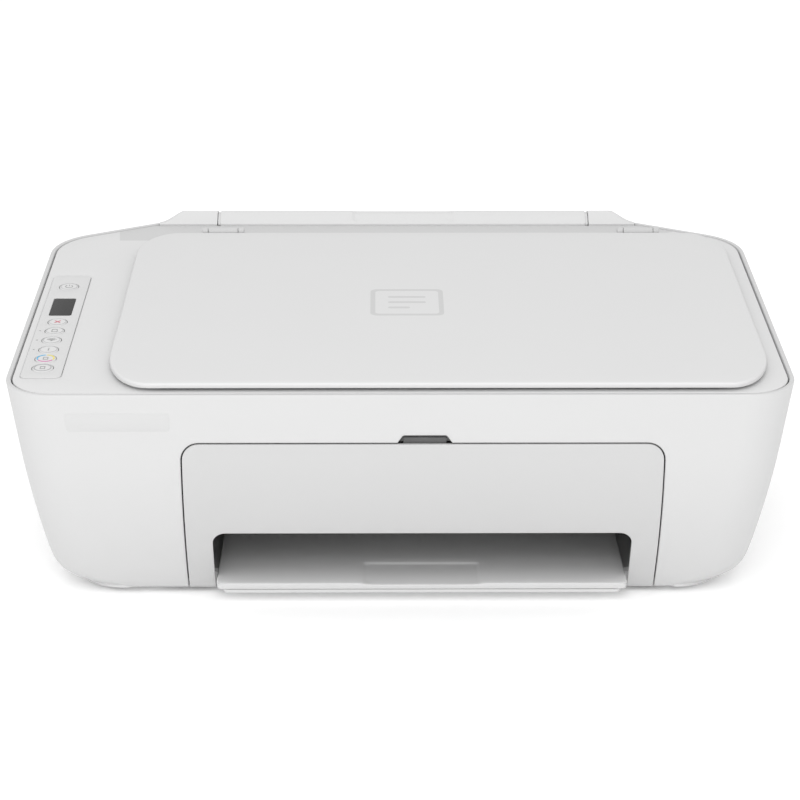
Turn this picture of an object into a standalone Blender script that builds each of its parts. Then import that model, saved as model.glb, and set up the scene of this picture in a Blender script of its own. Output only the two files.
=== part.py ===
"""All-in-one inkjet printer: curved tub body, sloped scanner deck with a hinged lid, front access
door around the output tray, rear input tray, carriage, rollers and gear train.

Frame: metres, +Z up, +X to the right seen from the front, -Y is the front.
The origin is on the table, under the middle of the body.
"""
import math

import bpy
import bmesh
from mathutils import Matrix, Vector

# ---- driving dimensions -------------------------------------------------------------------
body_width = 0.425
body_depth = 0.304
rim_front_height = 0.1259
rim_rear_height = 0.149825
top_height = 0.154
base_height = 0.003
wall = 0.0026
floor_thickness = 0.0025
gap = 0.0003
slide_gap = 0.0006
lip_seam = 0.001

side_flare = 0.020
side_curl = 0.022
curl_power = 32
front_curl = 0.030
front_power = 1.8
front_upright = 0.3
rear_draft = 0.004
rear_curl_share = 0.4
front_corner = 0.026
rear_corner = 0.036
rear_corner_run = 0.082
rear_corner_angle = math.radians(62)
rear_blend = 0.060

door_left = -0.117
door_right = 0.1408
door_top = 0.098
door_corner = 0.009
door_seam = 0.0009
door_foot = 0.0365
arm_start = 0.0280
pivot_back = 0.041
pivot_height = 0.0095
opening_margin = 0.0145
opening_top = 0.043
opening_corner = 0.007
notch_left = -0.002
notch_right = 0.029
notch_height = 0.004

tray_margin = 0.0013
tray_front = 0.014
tray_length = 0.151
tray_top = 0.012
tray_plate = 0.0025
tray_lip = 0.0038
scoop_width = 0.065
extender_plate = 0.0018
extender_length = 0.116
extender_setback = 0.0075

bezel_plate = 0.0024
bezel_drop = 0.0003
slot_seam = 0.0013
window_left = -0.130
window_right = 0.172
window_front = 0.010
window_rim = 0.0165
glass_plate = 0.0025
glass_overlap = 0.006
housing_depth = 0.0285
housing_wall = 0.0022
scan_bar_width = 0.022
lid_left = -0.1585
lid_right = 0.200
lid_front = 0.0053
valley_run = 0.0585
lid_corner = 0.024
lid_corner_front = 0.044
lid_corner_back = 0.036
lid_low = 0.0015
lid_plate = 0.0034
pad_margin = 0.004
lid_axis_setback = 0.007
lid_axis_height = 0.0026
barrel_radius = 0.0026
hinge_width = 0.018

panel_left = -0.205
panel_right = -0.183
panel_front = 0.024
panel_back = 0.181
panel_plate = 0.0011
key_column = -0.1942
keys = [
    ("power_key", 0.1620, 0.0056),
    ("cancel_key", 0.1054, 0.0054),
    ("resume_key", 0.0918, 0.0054),
    ("wireless_key", 0.0778, 0.0054),
    ("info_key", 0.0638, 0.0054),
    ("color_copy_key", 0.0507, 0.0058),
    ("black_copy_key", 0.0375, 0.0058),
]
display_front = 0.1155
display_back = 0.1432
display_width = 0.0125

feeder_left = -0.1118
feeder_right = 0.1192
feeder_gap = 0.0019
feeder_lean = math.radians(27)
feeder_run = 0.0315
feeder_ramp = 0.0090
feeder_fall = 0.0066
feeder_cap = 0.0034
feeder_plate = 0.0030
feeder_length = 0.100
feeder_recess = 0.0635
paper_slot = 0.0070
wing_end = 0.150
wing_flat = 0.132
guide_width = 0.006

paper_height = 0.0367
feed_back = 0.160
feed_height = 0.029
roller_radius = 0.0075
gear_module = 0.001
feed_teeth = 36
motor_teeth = 12
idler_teeth = 24
discharge_teeth = 18
pick_teeth = 40
pick_back = 0.208
pick_height = 0.039
gear_width = 0.006
axle_radius = 0.003
chassis_left = -0.150
chassis_right = 0.1305
chassis_plate = 0.0025

carriage_width = 0.086
carriage_home = 0.143
carriage_front = 0.117
carriage_depth = 0.062
carriage_top = 0.090
rod_back = 0.192
rod_height = 0.062
rod_radius = 0.004
rail_half = 0.1885
rail_back = 0.206
rail_low = 0.050
rail_top = 0.092
pulley_radius = 0.0055
belt_thickness = 0.001
belt_height = 0.0795

# ---- fitted places ------------------------------------------------------------------------
half_width = body_width / 2
front_y = -body_depth / 2
rear_y = body_depth / 2
floor_top = base_height + floor_thickness
deck_tilt = math.atan2(rim_rear_height - rim_front_height, body_depth)
rear_corner_start = body_depth - rear_corner_run
feeder_front = body_depth - feeder_run
valley_end = feeder_front - slot_seam
lid_back = body_depth - valley_run
lid_axis_back = lid_back + lid_axis_setback
window_back = lid_back - window_rim
opening_left = door_left + opening_margin
opening_right = door_right - opening_margin
tray_left = opening_left + tray_margin
tray_right = opening_right - tray_margin
discharge_reach = gear_module * (feed_teeth + idler_teeth) / 2
discharge_step = gear_module * (idler_teeth + discharge_teeth) / 2
idler_back = feed_back - discharge_reach
discharge_height = feed_height + 0.002
discharge_back = idler_back - math.sqrt(discharge_step ** 2 - (discharge_height - feed_height) ** 2)
motor_back = feed_back + gear_module * (feed_teeth + motor_teeth) / 2
gear_left = chassis_left - 0.012
white = ((0.80, 0.81, 0.82), 0.45, 0.0)
light_grey = ((0.72, 0.73, 0.74), 0.50, 0.0)
dark = ((0.05, 0.05, 0.055), 0.45, 0.0)
mid_grey = ((0.30, 0.31, 0.32), 0.55, 0.0)
steel = ((0.60, 0.60, 0.61), 0.30, 1.0)
rubber = ((0.06, 0.06, 0.06), 0.85, 0.0)
board_green = ((0.05, 0.22, 0.10), 0.50, 0.0)


def back(distance):
    """World Y of a place this far behind the front edge."""
    return front_y + distance


def rim_height(y):
    return rim_front_height + (y - front_y) * math.tan(deck_tilt)


def deck(x, along, lift):
    """World point of a place on the sloped deck: along the slope from the front, lifted normal to it."""
    y = front_y + along * math.cos(deck_tilt) - lift * math.sin(deck_tilt)
    z = rim_front_height + along * math.sin(deck_tilt) + lift * math.cos(deck_tilt)
    return Vector((x, y, z))


deck_frame = Matrix.Translation((0, front_y, rim_front_height)) @ Matrix.Rotation(deck_tilt, 4, "X")


# ---- shape tools --------------------------------------------------------------------------
def finish_mesh(name, work, look):
    bmesh.ops.recalc_face_normals(work, faces=work.faces)
    mesh = bpy.data.meshes.new(name)
    work.to_mesh(mesh)
    work.free()
    piece = bpy.data.objects.new(name, mesh)
    bpy.context.scene.collection.objects.link(piece)
    colour, roughness, metallic = look
    material = bpy.data.materials.new(name)
    material.use_nodes = True
    shader = material.node_tree.nodes["Principled BSDF"]
    shader.inputs["Base Color"].default_value = (*colour, 1)
    shader.inputs["Roughness"].default_value = roughness
    shader.inputs["Metallic"].default_value = metallic
    mesh.materials.append(material)
    return piece


def loft(name, loops, look):
    """Closed solid through loops of the same number of points, with flat ends."""
    work = bmesh.new()
    rings = [[work.verts.new(p) for p in loop] for loop in loops]
    for low, high in zip(rings, rings[1:]):
        for i in range(len(low)):
            j = (i + 1) % len(low)
            work.faces.new((low[i], low[j], high[j], high[i]))
    work.faces.new(reversed(rings[0]))
    work.faces.new(rings[-1])
    return finish_mesh(name, work, look)


def prism(name, outline, axis, start, end, look, frame=None):
    """Extrudes an outline of two coordinates along the third axis."""
    order = {"X": lambda a, b, t: (t, a, b), "Y": lambda a, b, t: (a, t, b), "Z": lambda a, b, t: (a, b, t)}
    place = order[axis]
    piece = loft(name, [[place(a, b, t) for a, b in outline] for t in (start, end)], look)
    if frame is not None:
        piece.data.transform(frame)
    return piece


def box(name, low, high, look, frame=None, bevel=0):
    outline = [(low[0], low[1]), (high[0], low[1]), (high[0], high[1]), (low[0], high[1])]
    piece = prism(name, outline, "Z", low[2], high[2], look)
    if bevel:
        work = bmesh.new()
        work.from_mesh(piece.data)
        bmesh.ops.bevel(work, geom=work.edges[:], offset=bevel, segments=1, affect="EDGES")
        work.to_mesh(piece.data)
        work.free()
    if frame is not None:
        piece.data.transform(frame)
    return piece


def arc(centre, radius, start, end, steps):
    angles = [math.radians(start + (end - start) * i / steps) for i in range(steps + 1)]
    return [(centre[0] + radius * math.cos(a), centre[1] + radius * math.sin(a)) for a in angles]


def rounded(low, high, radius, steps=5):
    """Rectangle outline with round corners."""
    corners = [
        ((high[0] - radius, low[1] + radius), -90),
        ((high[0] - radius, high[1] - radius), 0),
        ((low[0] + radius, high[1] - radius), 90),
        ((low[0] + radius, low[1] + radius), 180),
    ]
    return [p for centre, start in corners for p in arc(centre, radius, start, start + 90, steps)]


def arch(left, right, low, high, radius, steps=5):
    """Outline with a straight bottom and two round top corners."""
    return (
        [(left, low), (right, low)]
        + arc((right - radius, high - radius), radius, 0, 90, steps)
        + arc((left + radius, high - radius), radius, 90, 180, steps)
    )


def rod(name, axis, start, end, centre, radius, look, sides=16, frame=None):
    """Solid round bar along an axis; centre holds the other two coordinates."""
    turn = 360 / sides
    outline = arc(centre, radius, turn / 2, 360 - turn / 2, sides - 1)
    return prism(name, outline, axis, start, end, look, frame)


def turned(name, axis_point, profile, look, sides=20):
    """Solid of revolution about X. The profile is (x, radius) from left to right."""
    loops = []
    for x, radius in profile:
        ring = arc(axis_point, radius, 0, 360 - 360 / sides, sides - 1)
        loops.append([(x, y, z) for y, z in ring])
    return loft(name, loops, look)


def change(operation, target, *tools):
    """Applies a Boolean of each tool to the target, then removes the tools."""
    for tool in tools:
        step = target.modifiers.new(operation, "BOOLEAN")
        step.operation = operation
        step.object = tool
        step.solver = "EXACT"
    bpy.context.view_layer.update()
    evaluated = target.evaluated_get(bpy.context.evaluated_depsgraph_get())
    mesh = bpy.data.meshes.new_from_object(evaluated)
    mesh.name = target.name
    old = target.data
    look = old.materials[0]
    target.modifiers.clear()
    target.data = mesh
    mesh.materials.clear()
    mesh.materials.append(look)
    for polygon in mesh.polygons:
        polygon.material_index = 0
    bpy.data.meshes.remove(old)
    for tool in tools:
        bpy.data.objects.remove(tool)
    return target


def cut(target, *tools):
    return change("DIFFERENCE", target, *tools)


def join(target, *tools):
    return change("UNION", target, *tools)


def keep(target, tool):
    return change("INTERSECT", target, tool)


def copy(piece, name):
    twin = bpy.data.objects.new(name, piece.data.copy())
    bpy.context.scene.collection.objects.link(twin)
    return twin


def hang(piece, point):
    """Puts the piece's origin on its joint axis without moving it."""
    piece.data.transform(Matrix.Translation(-Vector(point)))
    piece.location = point
    return piece


# ---- body shell ---------------------------------------------------------------------------
def body_outline(level, inset=0.0):
    """Plan outline of the body at a level from 0 at the rim to 1 at the base, moved in by inset."""
    curl = side_curl * max(level, 0) ** curl_power
    side = half_width - side_flare * max(level, 0) - curl
    under = max(level - front_upright, 0) / (1 - front_upright)
    front = front_y + front_curl * under ** front_power
    rear = rear_y - rear_draft * max(level, 0) - rear_curl_share * curl
    beta = rear_corner_angle
    bend = math.degrees(beta)
    first = Vector((side - rear_corner, back(rear_corner_start)))
    slope = Vector((-math.sin(beta), math.cos(beta)))
    touch = Vector((math.cos(beta), math.sin(beta)))
    reach = rear - rear_blend + rear_blend * touch.y - first.y - rear_corner * touch.y
    second = first + rear_corner * touch + slope * (reach / slope.y) - rear_blend * touch
    half = (
        arc((side - front_corner, front + front_corner), front_corner - inset, -90, 0, 6)
        + arc(first, rear_corner - inset, 0, bend, 6)
        + arc(second, rear_blend - inset, bend, 90, 3)
    )
    return half + [(-x, y) for x, y in reversed(half)]


def body_loop(level, inset=0.0, lift=0.0):
    loop = []
    for x, y in body_outline(level, inset):
        top = rim_height(y)
        loop.append((x, y, top - level * (top - base_height) + lift))
    return loop


def body_shell():
    levels = [0, 0.15, 0.3, 0.45, 0.6, 0.75, 0.87, 0.93, 0.955, 0.975, 0.99, 1]
    outer = loft("base_tub", [body_loop(v) for v in reversed(levels)], white)
    hollow_levels = [v for v in levels if v < 0.96]
    inner_loops = [body_loop(v, wall) for v in reversed(hollow_levels)]
    bottom = [(x, y, floor_top) for x, y in body_outline(0.985, wall)]
    top = body_loop(0, wall, 0.01)
    inner = loft("hollow", [bottom] + inner_loops + [top], white)
    return cut(outer, inner)


def panel_face(height):
    """World Y of the input tray's front face at this height."""
    top_y = back(feeder_front) + feeder_ramp + 0.003
    return top_y + (height - top_height + feeder_plate) * math.tan(feeder_lean)


def build_body():
    shell = body_shell()
    door = copy(shell, "front_door")
    seam = door_seam
    block = arch(door_left, door_right, -0.01, door_top, door_corner)
    keep(door, prism("block", block, "Y", front_y - 0.01, back(door_foot), white))
    mouth = arch(opening_left, opening_right, -0.02, opening_top, opening_corner)
    cut(door, prism("mouth", mouth, "Y", front_y - 0.02, back(0.06), white))
    grown = arch(door_left - seam, door_right + seam, -0.011, door_top + seam, door_corner + seam)
    top = door_top
    notch = [
        (notch_left, top),
        (notch_right, top),
        (notch_right - 0.003, top + notch_height),
        (notch_left + 0.003, top + notch_height),
    ]
    leg_back = back(pivot_back) + 0.0105
    legs = [
        box("leg", (a - seam, back(0.03), -0.01), (b + seam, leg_back, 0.0085), white)
        for a, b in ((door_left, opening_left), (opening_right, door_right))
    ]
    cut(
        shell,
        prism("door_hole", grown, "Y", front_y - 0.02, back(door_foot) + 0.0008, white),
        prism("notch", notch, "Y", front_y - 0.01, back(0.012), white),
        *legs,
        box(
            "wing_seat",
            (-wing_end - gap, back(feeder_front) - 2 * gap, wing_low - gap),
            (wing_end + gap, rear_y + 0.01, 0.17),
            white,
        ),
        box("inlet_hole", (inlet_x - 0.0134, rear_y - 0.024, 0.0156), (inlet_x + 0.0134, rear_y + 0.01, 0.0354), white),
        box("usb_hole", (usb_x - 0.0069, rear_y - 0.024, 0.0186), (usb_x + 0.0069, rear_y + 0.01, 0.0314), white),
    )
    for side, x in ((-1, door_left), (1, door_right)):
        inner = x - side * 0.0045
        lug = rod("lug", "X", inner - 0.0018, inner + 0.0018, (back(pivot_back), pivot_height), 0.0042, white)
        arm_low = (inner - 0.0018, back(arm_start), pivot_height - 0.0025)
        arm_high = (inner + 0.0018, back(pivot_back), pivot_height + 0.0035)
        join(door, box("arm", arm_low, arm_high, white), lug)
    centre = (back(pivot_back), pivot_height)
    for side, x in ((-1, door_left), (1, door_right)):
        inner = x - side * 0.0045
        cut(door, rod("bore", "X", inner - 0.003, inner + 0.003, centre, 0.0018, white, 12))
        ear_near = x + side * (seam + gap)
        ear = sorted((ear_near, ear_near + side * 0.003))
        low = (ear[0], back(pivot_back) - 0.004, floor_top - 0.001)
        high = (ear[1], back(pivot_back) + 0.012, pivot_height + 0.004)
        pin = sorted((inner - side * 0.002, ear_near + side * 0.001))
        join(shell, box("ear", low, high, white), rod("pin", "X", *pin, centre, 0.0015, white, 12))
    hang(door, (0, back(pivot_back), pivot_height))


# ---- rear: cover with the wings, chute, input tray, paper guides --------------------------
wing_low = 0.138
inlet_x = -0.070
usb_x = 0.066


def hump_outline():
    """Front view of the raised rear: flat top, S-shaped shoulders."""
    def shoulder(side):
        points = []
        for i in range(9):
            t = i / 8
            drop = (1 - math.cos(math.pi * t)) / 2
            x = wing_flat + (wing_end - wing_flat) * t
            points.append((side * x, top_height - drop * 0.0062))
        return points

    return (
        [(-wing_end, wing_low), (wing_end, wing_low)]
        + list(reversed(shoulder(1)))
        + shoulder(-1)
    )


def feeder_section(low):
    """Side view of the raised rear strip: ramp at the front, falling away behind its crest."""
    front = back(feeder_front)
    ramp_low = top_height - 0.0064
    return [
        (front, low),
        (rear_y, low),
        (rear_y, top_height - feeder_fall),
        (front + feeder_ramp, top_height),
        (front, ramp_low),
    ]


def strip_solid(name, left, right, low, look, inset=0.0):
    """The raised strip between two X values, trimmed by the body's plan outline."""
    piece = prism(name, feeder_section(low), "X", left, right, look)
    plan = body_outline(0, inset)
    return keep(piece, prism("plan", plan, "Z", 0.05, 0.2, look))


def build_rear_cover():
    cover = strip_solid("rear_cover", -wing_end, wing_end, wing_low, white)
    keep(cover, prism("hump", hump_outline(), "Y", back(0.2), rear_y + 0.01, white))
    hollow = prism("hollow", feeder_section(wing_low - 0.01), "X", -wing_end + wall, wing_end - wall, white)
    hollow.data.transform(Matrix.Translation((0, 0.0, -wall)))
    keep(hollow, prism("plan", body_outline(0, wall), "Z", 0.05, 0.2, white))
    keep(hollow, box("front", (-1, back(feeder_front) + wall, 0), (1, 1, 1), white))
    left = feeder_left - feeder_gap
    right = feeder_right + feeder_gap
    channel = prism("channel", body_outline(0, wall), "Z", 0.1, 0.2, white)
    keep(channel, box("between", (left, back(feeder_front) - 0.0125, 0), (right, 1, 1), white))
    sill = top_height - feeder_fall - feeder_cap - 0.0009
    cut(cover, hollow, channel, box("over_sill", (left, back(feeder_front) - 0.0125, sill), (right, rear_y + 0.01, 0.2), white))
    chute_low = 0.100
    setback = paper_slot / math.cos(feeder_lean)

    def chute_y(height):
        return panel_face(height) - setback

    top = rim_height(back(valley_end)) - bezel_plate - 0.0015
    thick = 0.0028
    profile = [
        (chute_y(chute_low) - thick, chute_low),
        (chute_y(chute_low), chute_low),
        (chute_y(top), top),
        (chute_y(top) - thick, top),
    ]
    chute = prism("chute", profile, "X", left - wall, right + wall, white)
    cheeks = []
    for x in (left - wall, right):
        reach = 0.0125
        cheek = [
            (chute_y(chute_low) - thick, chute_low),
            (chute_y(chute_low) + reach, chute_low),
            (min(chute_y(0.150) + reach, rear_y - 2 * wall - 0.003), 0.1505),
            (back(feeder_front) + 0.0055, 0.1505),
            (back(feeder_front) + 0.0005, 0.1470),
        ]
        cheeks.append(prism("cheek", cheek, "X", x, x + wall, white))
    join(cover, chute, *cheeks)


def build_input_tray():
    left = feeder_left
    right = feeder_right
    section = [
        (back(feeder_front) + gap, top_height - 0.0064),
        (back(feeder_front) + 0.0030, top_height - 0.0080),
        (panel_face(top_height - 0.0045), top_height - 0.0042),
        (rear_y - gap, top_height - feeder_fall - feeder_cap),
        (rear_y - gap, top_height - feeder_fall),
        (back(feeder_front) + feeder_ramp, top_height),
    ]
    tray = prism("input_tray", section, "X", left, right, white)
    keep(tray, prism("plan", body_outline(0, gap), "Z", 0.05, 0.2, white))
    foot = top_height - feeder_length * math.cos(feeder_lean)
    thick = feeder_plate / math.cos(feeder_lean)
    head = top_height - 0.0032
    plate = [
        (panel_face(foot), foot),
        (panel_face(foot) + thick, foot),
        (panel_face(head) + thick, head),
        (panel_face(head), head),
    ]
    join(tray, prism("plate", plate, "X", left, right, white))
    centre = (left + right) / 2
    half = feeder_recess / 2
    grip_back = back(feeder_front) + feeder_ramp + 0.0075
    grip = box(
        "grip",
        (centre - half, back(feeder_front) - 0.01, top_height - 0.0012),
        (centre + half, grip_back, top_height + 0.01),
        white,
    )
    cut(tray, grip)
    hang(tray, (centre, rear_y, top_height))


def build_paper_guides():
    centre = (feeder_left + feeder_right) / 2
    reach = 0.108 + guide_width
    low = 0.108
    high = 0.141
    clear = slide_gap / math.cos(feeder_lean)
    setback = paper_slot / math.cos(feeder_lean)
    for name, side in (("paper_guide_left", -1), ("paper_guide_right", 1)):
        near = centre + side * (reach - guide_width)
        far = centre + side * (reach - 0.0006)
        section = [
            (panel_face(low) - setback + clear, low),
            (panel_face(low) - clear, low),
            (panel_face(high) - clear, high),
            (panel_face(high) - setback + clear, high),
        ]
        guide = prism(name, section, "X", *sorted((near, far)), light_grey)
        hang(guide, (near, panel_face(low), low))


# ---- scanner deck -------------------------------------------------------------------------
def deck_outline(inset):
    """The rim's outline in deck coordinates."""
    return [(x, (y - front_y) / math.cos(deck_tilt)) for x, y in body_outline(0, inset)]


def key_hole(x, along, radius):
    return rod("hole", "Z", -0.02, 0.01, (x, along), radius, white, 16, deck_frame)


def build_bezel():
    high = -bezel_drop
    low = high - bezel_plate
    bezel = prism("scanner_bezel", deck_outline(wall + lip_seam), "Z", low, high, white)
    trim = box("trim", (-1, -1, -1), (1, valley_end / math.cos(deck_tilt), 1), white)
    keep(bezel, trim)
    window = rounded((window_left, window_front), (window_right, window_back), 0.003, 2)
    recess = rounded((panel_left - gap, panel_front - gap), (panel_right + gap, panel_back + gap), 0.003, 3)
    cut(
        bezel,
        prism("window", window, "Z", -0.02, 0.01, white),
        prism("recess", recess, "Z", high - panel_plate - gap, 0.01, white),
    )
    bezel.data.transform(deck_frame)
    holes = [key_hole(key_column, along, radius + 0.0004) for _, along, radius in keys]
    return cut(bezel, *holes)


def build_scanner():
    low = -bezel_drop - bezel_plate - gap
    glass_low = (window_left - glass_overlap, window_front - glass_overlap, low - glass_plate)
    glass_high = (window_right + glass_overlap, window_back + glass_overlap, low)
    box("platen_glass", glass_low, glass_high, ((0.55, 0.62, 0.60), 0.08, 0.0), deck_frame)
    top = low - glass_plate - gap
    rest = 0.001
    outer_low = (glass_low[0] - rest, glass_low[1], -housing_depth)
    outer_high = (glass_high[0] + rest, glass_high[1] + rest, top)
    housing = box("scanner_housing", outer_low, outer_high, light_grey)
    thick = housing_wall
    inner_low = [v + thick for v in outer_low]
    inner_high = [outer_high[0] - thick, outer_high[1] - thick, 0.01]
    cut(housing, box("hollow", inner_low, inner_high, light_grey))
    housing.data.transform(deck_frame)
    start = inner_low[0] + 0.002
    bar_low = (start, inner_low[1] + 0.003, -0.0190)
    bar_high = (start + scan_bar_width, inner_high[1] - 0.003, top - 0.0012)
    bar = box("scan_bar", bar_low, bar_high, dark, deck_frame, 0.0008)
    lens_front = (start + 0.006, bar_low[1] + 0.006, bar_high[2] - 0.0004)
    lens_back = (start + 0.016, bar_high[1] - 0.006, bar_high[2] + 0.01)
    cut(bar, box("slit", lens_front, lens_back, dark, deck_frame))
    hang(bar, deck(start, bar_low[1], bar_low[2]))
    ends = (inner_low[0] + gap, inner_high[0] - gap)
    rod("scan_rod", "X", *ends, (0.120, -0.0222), 0.0025, steel, 12, deck_frame)
    motor_low = (inner_high[0] - 0.0155, inner_low[1] + 0.006, inner_low[2] + gap)
    motor_high = (inner_high[0] - 0.0005, inner_low[1] + 0.024, -0.0105)
    box("scan_motor", motor_low, motor_high, steel, deck_frame, 0.001)


def lid_outline(inset, steps=7):
    """Plan of the lid in deck coordinates: corners longer in depth than in width."""
    points = []
    for x, y, deep, start in (
        (lid_right, lid_front, lid_corner_front, -90),
        (lid_right, lid_back, -lid_corner_back, 0),
        (lid_left, lid_back, -lid_corner_back, 90),
        (lid_left, lid_front, lid_corner_front, 180),
    ):
        wide = lid_corner if x == lid_left else -lid_corner
        centre = (x + wide, y + deep)
        for px, py in arc((0, 0), 1.0, start, start + 90, steps):
            points.append((centre[0] + px * (lid_corner - inset), centre[1] + py * (abs(deep) - inset)))
    return points


def build_lid(bezel):
    high = lid_low + lid_plate
    steps = [(lid_low, 0.0012), (lid_low + 0.001, 0.0), (high - 0.0016, 0.0), (high - 0.0006, 0.0008), (high, 0.003)]
    loops = []
    for height, inset in steps:
        loops.append([(x, y, height) for x, y in lid_outline(inset)])
    lid = loft("scanner_lid", loops, light_grey)
    lid.data.transform(deck_frame)
    axis = deck(0, lid_axis_back, lid_axis_height)
    hang(lid, axis)
    pad_low = (window_left + pad_margin, window_front + pad_margin, -bezel_drop - bezel_plate + gap)
    pad_high = (window_right - pad_margin, window_back - pad_margin, lid_low - gap)
    pad = box("lid_pad", pad_low, pad_high, ((0.85, 0.85, 0.85), 0.9, 0.0), deck_frame, 0.0008)
    hang(pad, axis)
    for name, x in (("left", lid_left + 0.050), ("right", lid_right - 0.050)):
        half = hinge_width / 2
        centre = (lid_axis_back, lid_axis_height)
        arm = box(
            "lid_hinge_" + name,
            (x - half, window_back + 0.0005, 0.0002),
            (x + half, lid_axis_back, lid_low - gap),
            white,
        )
        join(arm, rod("barrel", "X", x - half, x + half, centre, barrel_radius, white, 16))
        cut(arm, rod("bore", "X", x - 0.02, x + 0.02, centre, 0.0015, white, 12))
        arm.data.transform(deck_frame)
        hang(arm, axis)
        bracket = rod("hinge_pin", "X", x - half - 0.0030, x + half + 0.0030, centre, 0.0011, white, 8)
        for side in (-1, 1):
            near = x + side * (half + 0.0004)
            far = x + side * (half + 0.0040)
            ends = sorted((near, far))
            outline = [(lid_axis_back - 0.0030, -0.0015), (lid_axis_back + 0.0030, -0.0015)]
            outline += arc(centre, barrel_radius, 0, 180, 6)
            join(bracket, prism("lug", outline, "X", *ends, white))
        bracket.data.transform(deck_frame)
        join(bezel, bracket)


def build_controls():
    high = 0.0001
    low = high - panel_plate
    outline = rounded((panel_left, panel_front), (panel_right, panel_back), 0.003, 3)
    panel = prism("control_panel", outline, "Z", low, high, white, deck_frame)
    half = display_width / 2
    hole_low = (key_column - half, display_front)
    hole_high = (key_column + half, display_back)
    grow = 0.0002
    screen_hole = rounded(
        (hole_low[0] - grow, hole_low[1] - grow), (hole_high[0] + grow, hole_high[1] + grow), 0.0014, 3
    )
    holes = [key_hole(key_column, along, radius + 0.0003) for _, along, radius in keys]
    cut(panel, prism("screen_hole", screen_hole, "Z", -0.02, 0.01, white, deck_frame), *holes)
    screen = rounded(hole_low, hole_high, 0.0012, 3)
    prism("display_window", screen, "Z", low + 0.0001, high - 0.0002, dark, deck_frame)
    board_low = (panel_left - 0.0005, panel_front - 0.002, -0.0086)
    board_high = (panel_right + 0.0005, panel_back + 0.002, -0.0070)
    box("control_board", board_low, board_high, board_green, deck_frame)
    for name, along, radius in keys:
        steps = [(-0.0052, 0.0005), (-0.0034, 0.0005), (-0.0034, 0), (0.0003, 0), (0.0007, -0.0008)]
        rings = []
        for height, grow in steps:
            ring = arc((key_column, along), radius + grow, 11.25, 348.75, 15)
            rings.append([(x, y, height) for x, y in ring])
        head = loft(name, rings, white)
        head.data.transform(deck_frame)
        hang(head, deck(key_column, along, 0))


# ---- output tray --------------------------------------------------------------------------
def build_output_tray():
    low = tray_top - tray_plate
    front = back(tray_front)
    rear = front + tray_length
    plan = rounded((tray_left, front), (tray_right, rear), 0.004, 3)
    tray = prism("output_tray", plan, "Z", low, tray_top, light_grey)
    lip = rounded((tray_left, front), (tray_right, front + 0.006), 0.0028, 3)
    join(tray, prism("lip", lip, "Z", tray_top - tray_lip, tray_top - 0.0005, light_grey))
    for side, x in ((1, tray_left), (-1, tray_right)):
        ends = sorted((x, x + side * 0.003))
        runner_low = (ends[0], front + 0.004, floor_top + gap)
        runner_high = (ends[1], rear - 0.004, tray_top - 0.001)
        join(tray, box("runner", runner_low, runner_high, light_grey))
    centre = (opening_left + opening_right) / 2
    half = scoop_width / 2
    depth = 0.0011
    section = [
        (front - 0.004, tray_top + 0.002),
        (front - 0.004, tray_top - depth),
        (front + 0.026, tray_top - depth),
        (front + 0.030, tray_top + 0.002),
    ]
    cut(tray, prism("scoop", section, "X", centre - half, centre + half, light_grey))
    hang(tray, (centre, front, tray_top))
    top = tray_top - tray_lip - gap
    bottom = top - extender_plate
    side = 0.003 + 2 * gap
    tip = front + extender_setback
    plan = rounded((tray_left + side, tip), (tray_right - side, tip + extender_length), 0.003, 3)
    extender = prism("tray_extender", plan, "Z", bottom, top, light_grey)
    lip_low = (tray_left + side + 0.002, tip + 0.0004, bottom - 0.0008)
    lip_high = (tray_right - side - 0.002, tip + 0.0035, top - 0.0003)
    join(extender, box("lip", lip_low, lip_high, light_grey))
    hang(extender, (centre, tip, top))


# ---- paper drive --------------------------------------------------------------------------
def gear_outline(teeth, phase, centre):
    """Trapezoid teeth with backlash; phase is the angle of one tooth's middle."""
    pitch_radius = gear_module * teeth / 2
    step = 2 * math.pi / teeth
    points = []
    for i in range(teeth):
        middle = phase + i * step
        for radius, share in ((-1.15, -0.29), (0.75, -0.13), (0.75, 0.13), (-1.15, 0.29)):
            angle = middle + share * step
            reach = pitch_radius + radius * gear_module
            points.append((centre[0] + reach * math.cos(angle), centre[1] + reach * math.sin(angle)))
    return points


def meshing_phase(phase, teeth, centre, other_teeth, other_centre):
    """Phase of a gear whose gap meets the first gear's tooth on the line between their centres."""
    direction = math.atan2(other_centre[1] - centre[1], other_centre[0] - centre[0])
    share = (phase - direction) / (2 * math.pi / teeth)
    step = 2 * math.pi / other_teeth
    return direction + math.pi - share * step - step / 2


def build_gears():
    places = {
        "feed_gear": (feed_teeth, (back(feed_back), feed_height)),
        "motor_gear": (motor_teeth, (back(motor_back), feed_height)),
        "idler_gear": (idler_teeth, (back(idler_back), feed_height)),
        "discharge_gear": (discharge_teeth, (back(discharge_back), discharge_height)),
        "pick_gear": (pick_teeth, (back(pick_back), pick_height)),
    }
    meshes = [
        ("feed_gear", "motor_gear"),
        ("feed_gear", "idler_gear"),
        ("idler_gear", "discharge_gear"),
        ("motor_gear", "pick_gear"),
    ]
    phases = {"feed_gear": 0.0}
    for first, second in meshes:
        teeth, centre = places[first]
        other_teeth, other_centre = places[second]
        phases[second] = meshing_phase(phases[first], teeth, centre, other_teeth, other_centre)
    for name, (teeth, centre) in places.items():
        outline = gear_outline(teeth, phases[name], centre)
        gear = prism(name, outline, "X", gear_left - gear_width / 2, gear_left + gear_width / 2, mid_grey)
        cut(gear, rod("bore", "X", gear_left - 0.01, gear_left + 0.01, centre, axle_radius + gap, mid_grey, 16))
        hang(gear, (gear_left, *centre))


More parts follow.
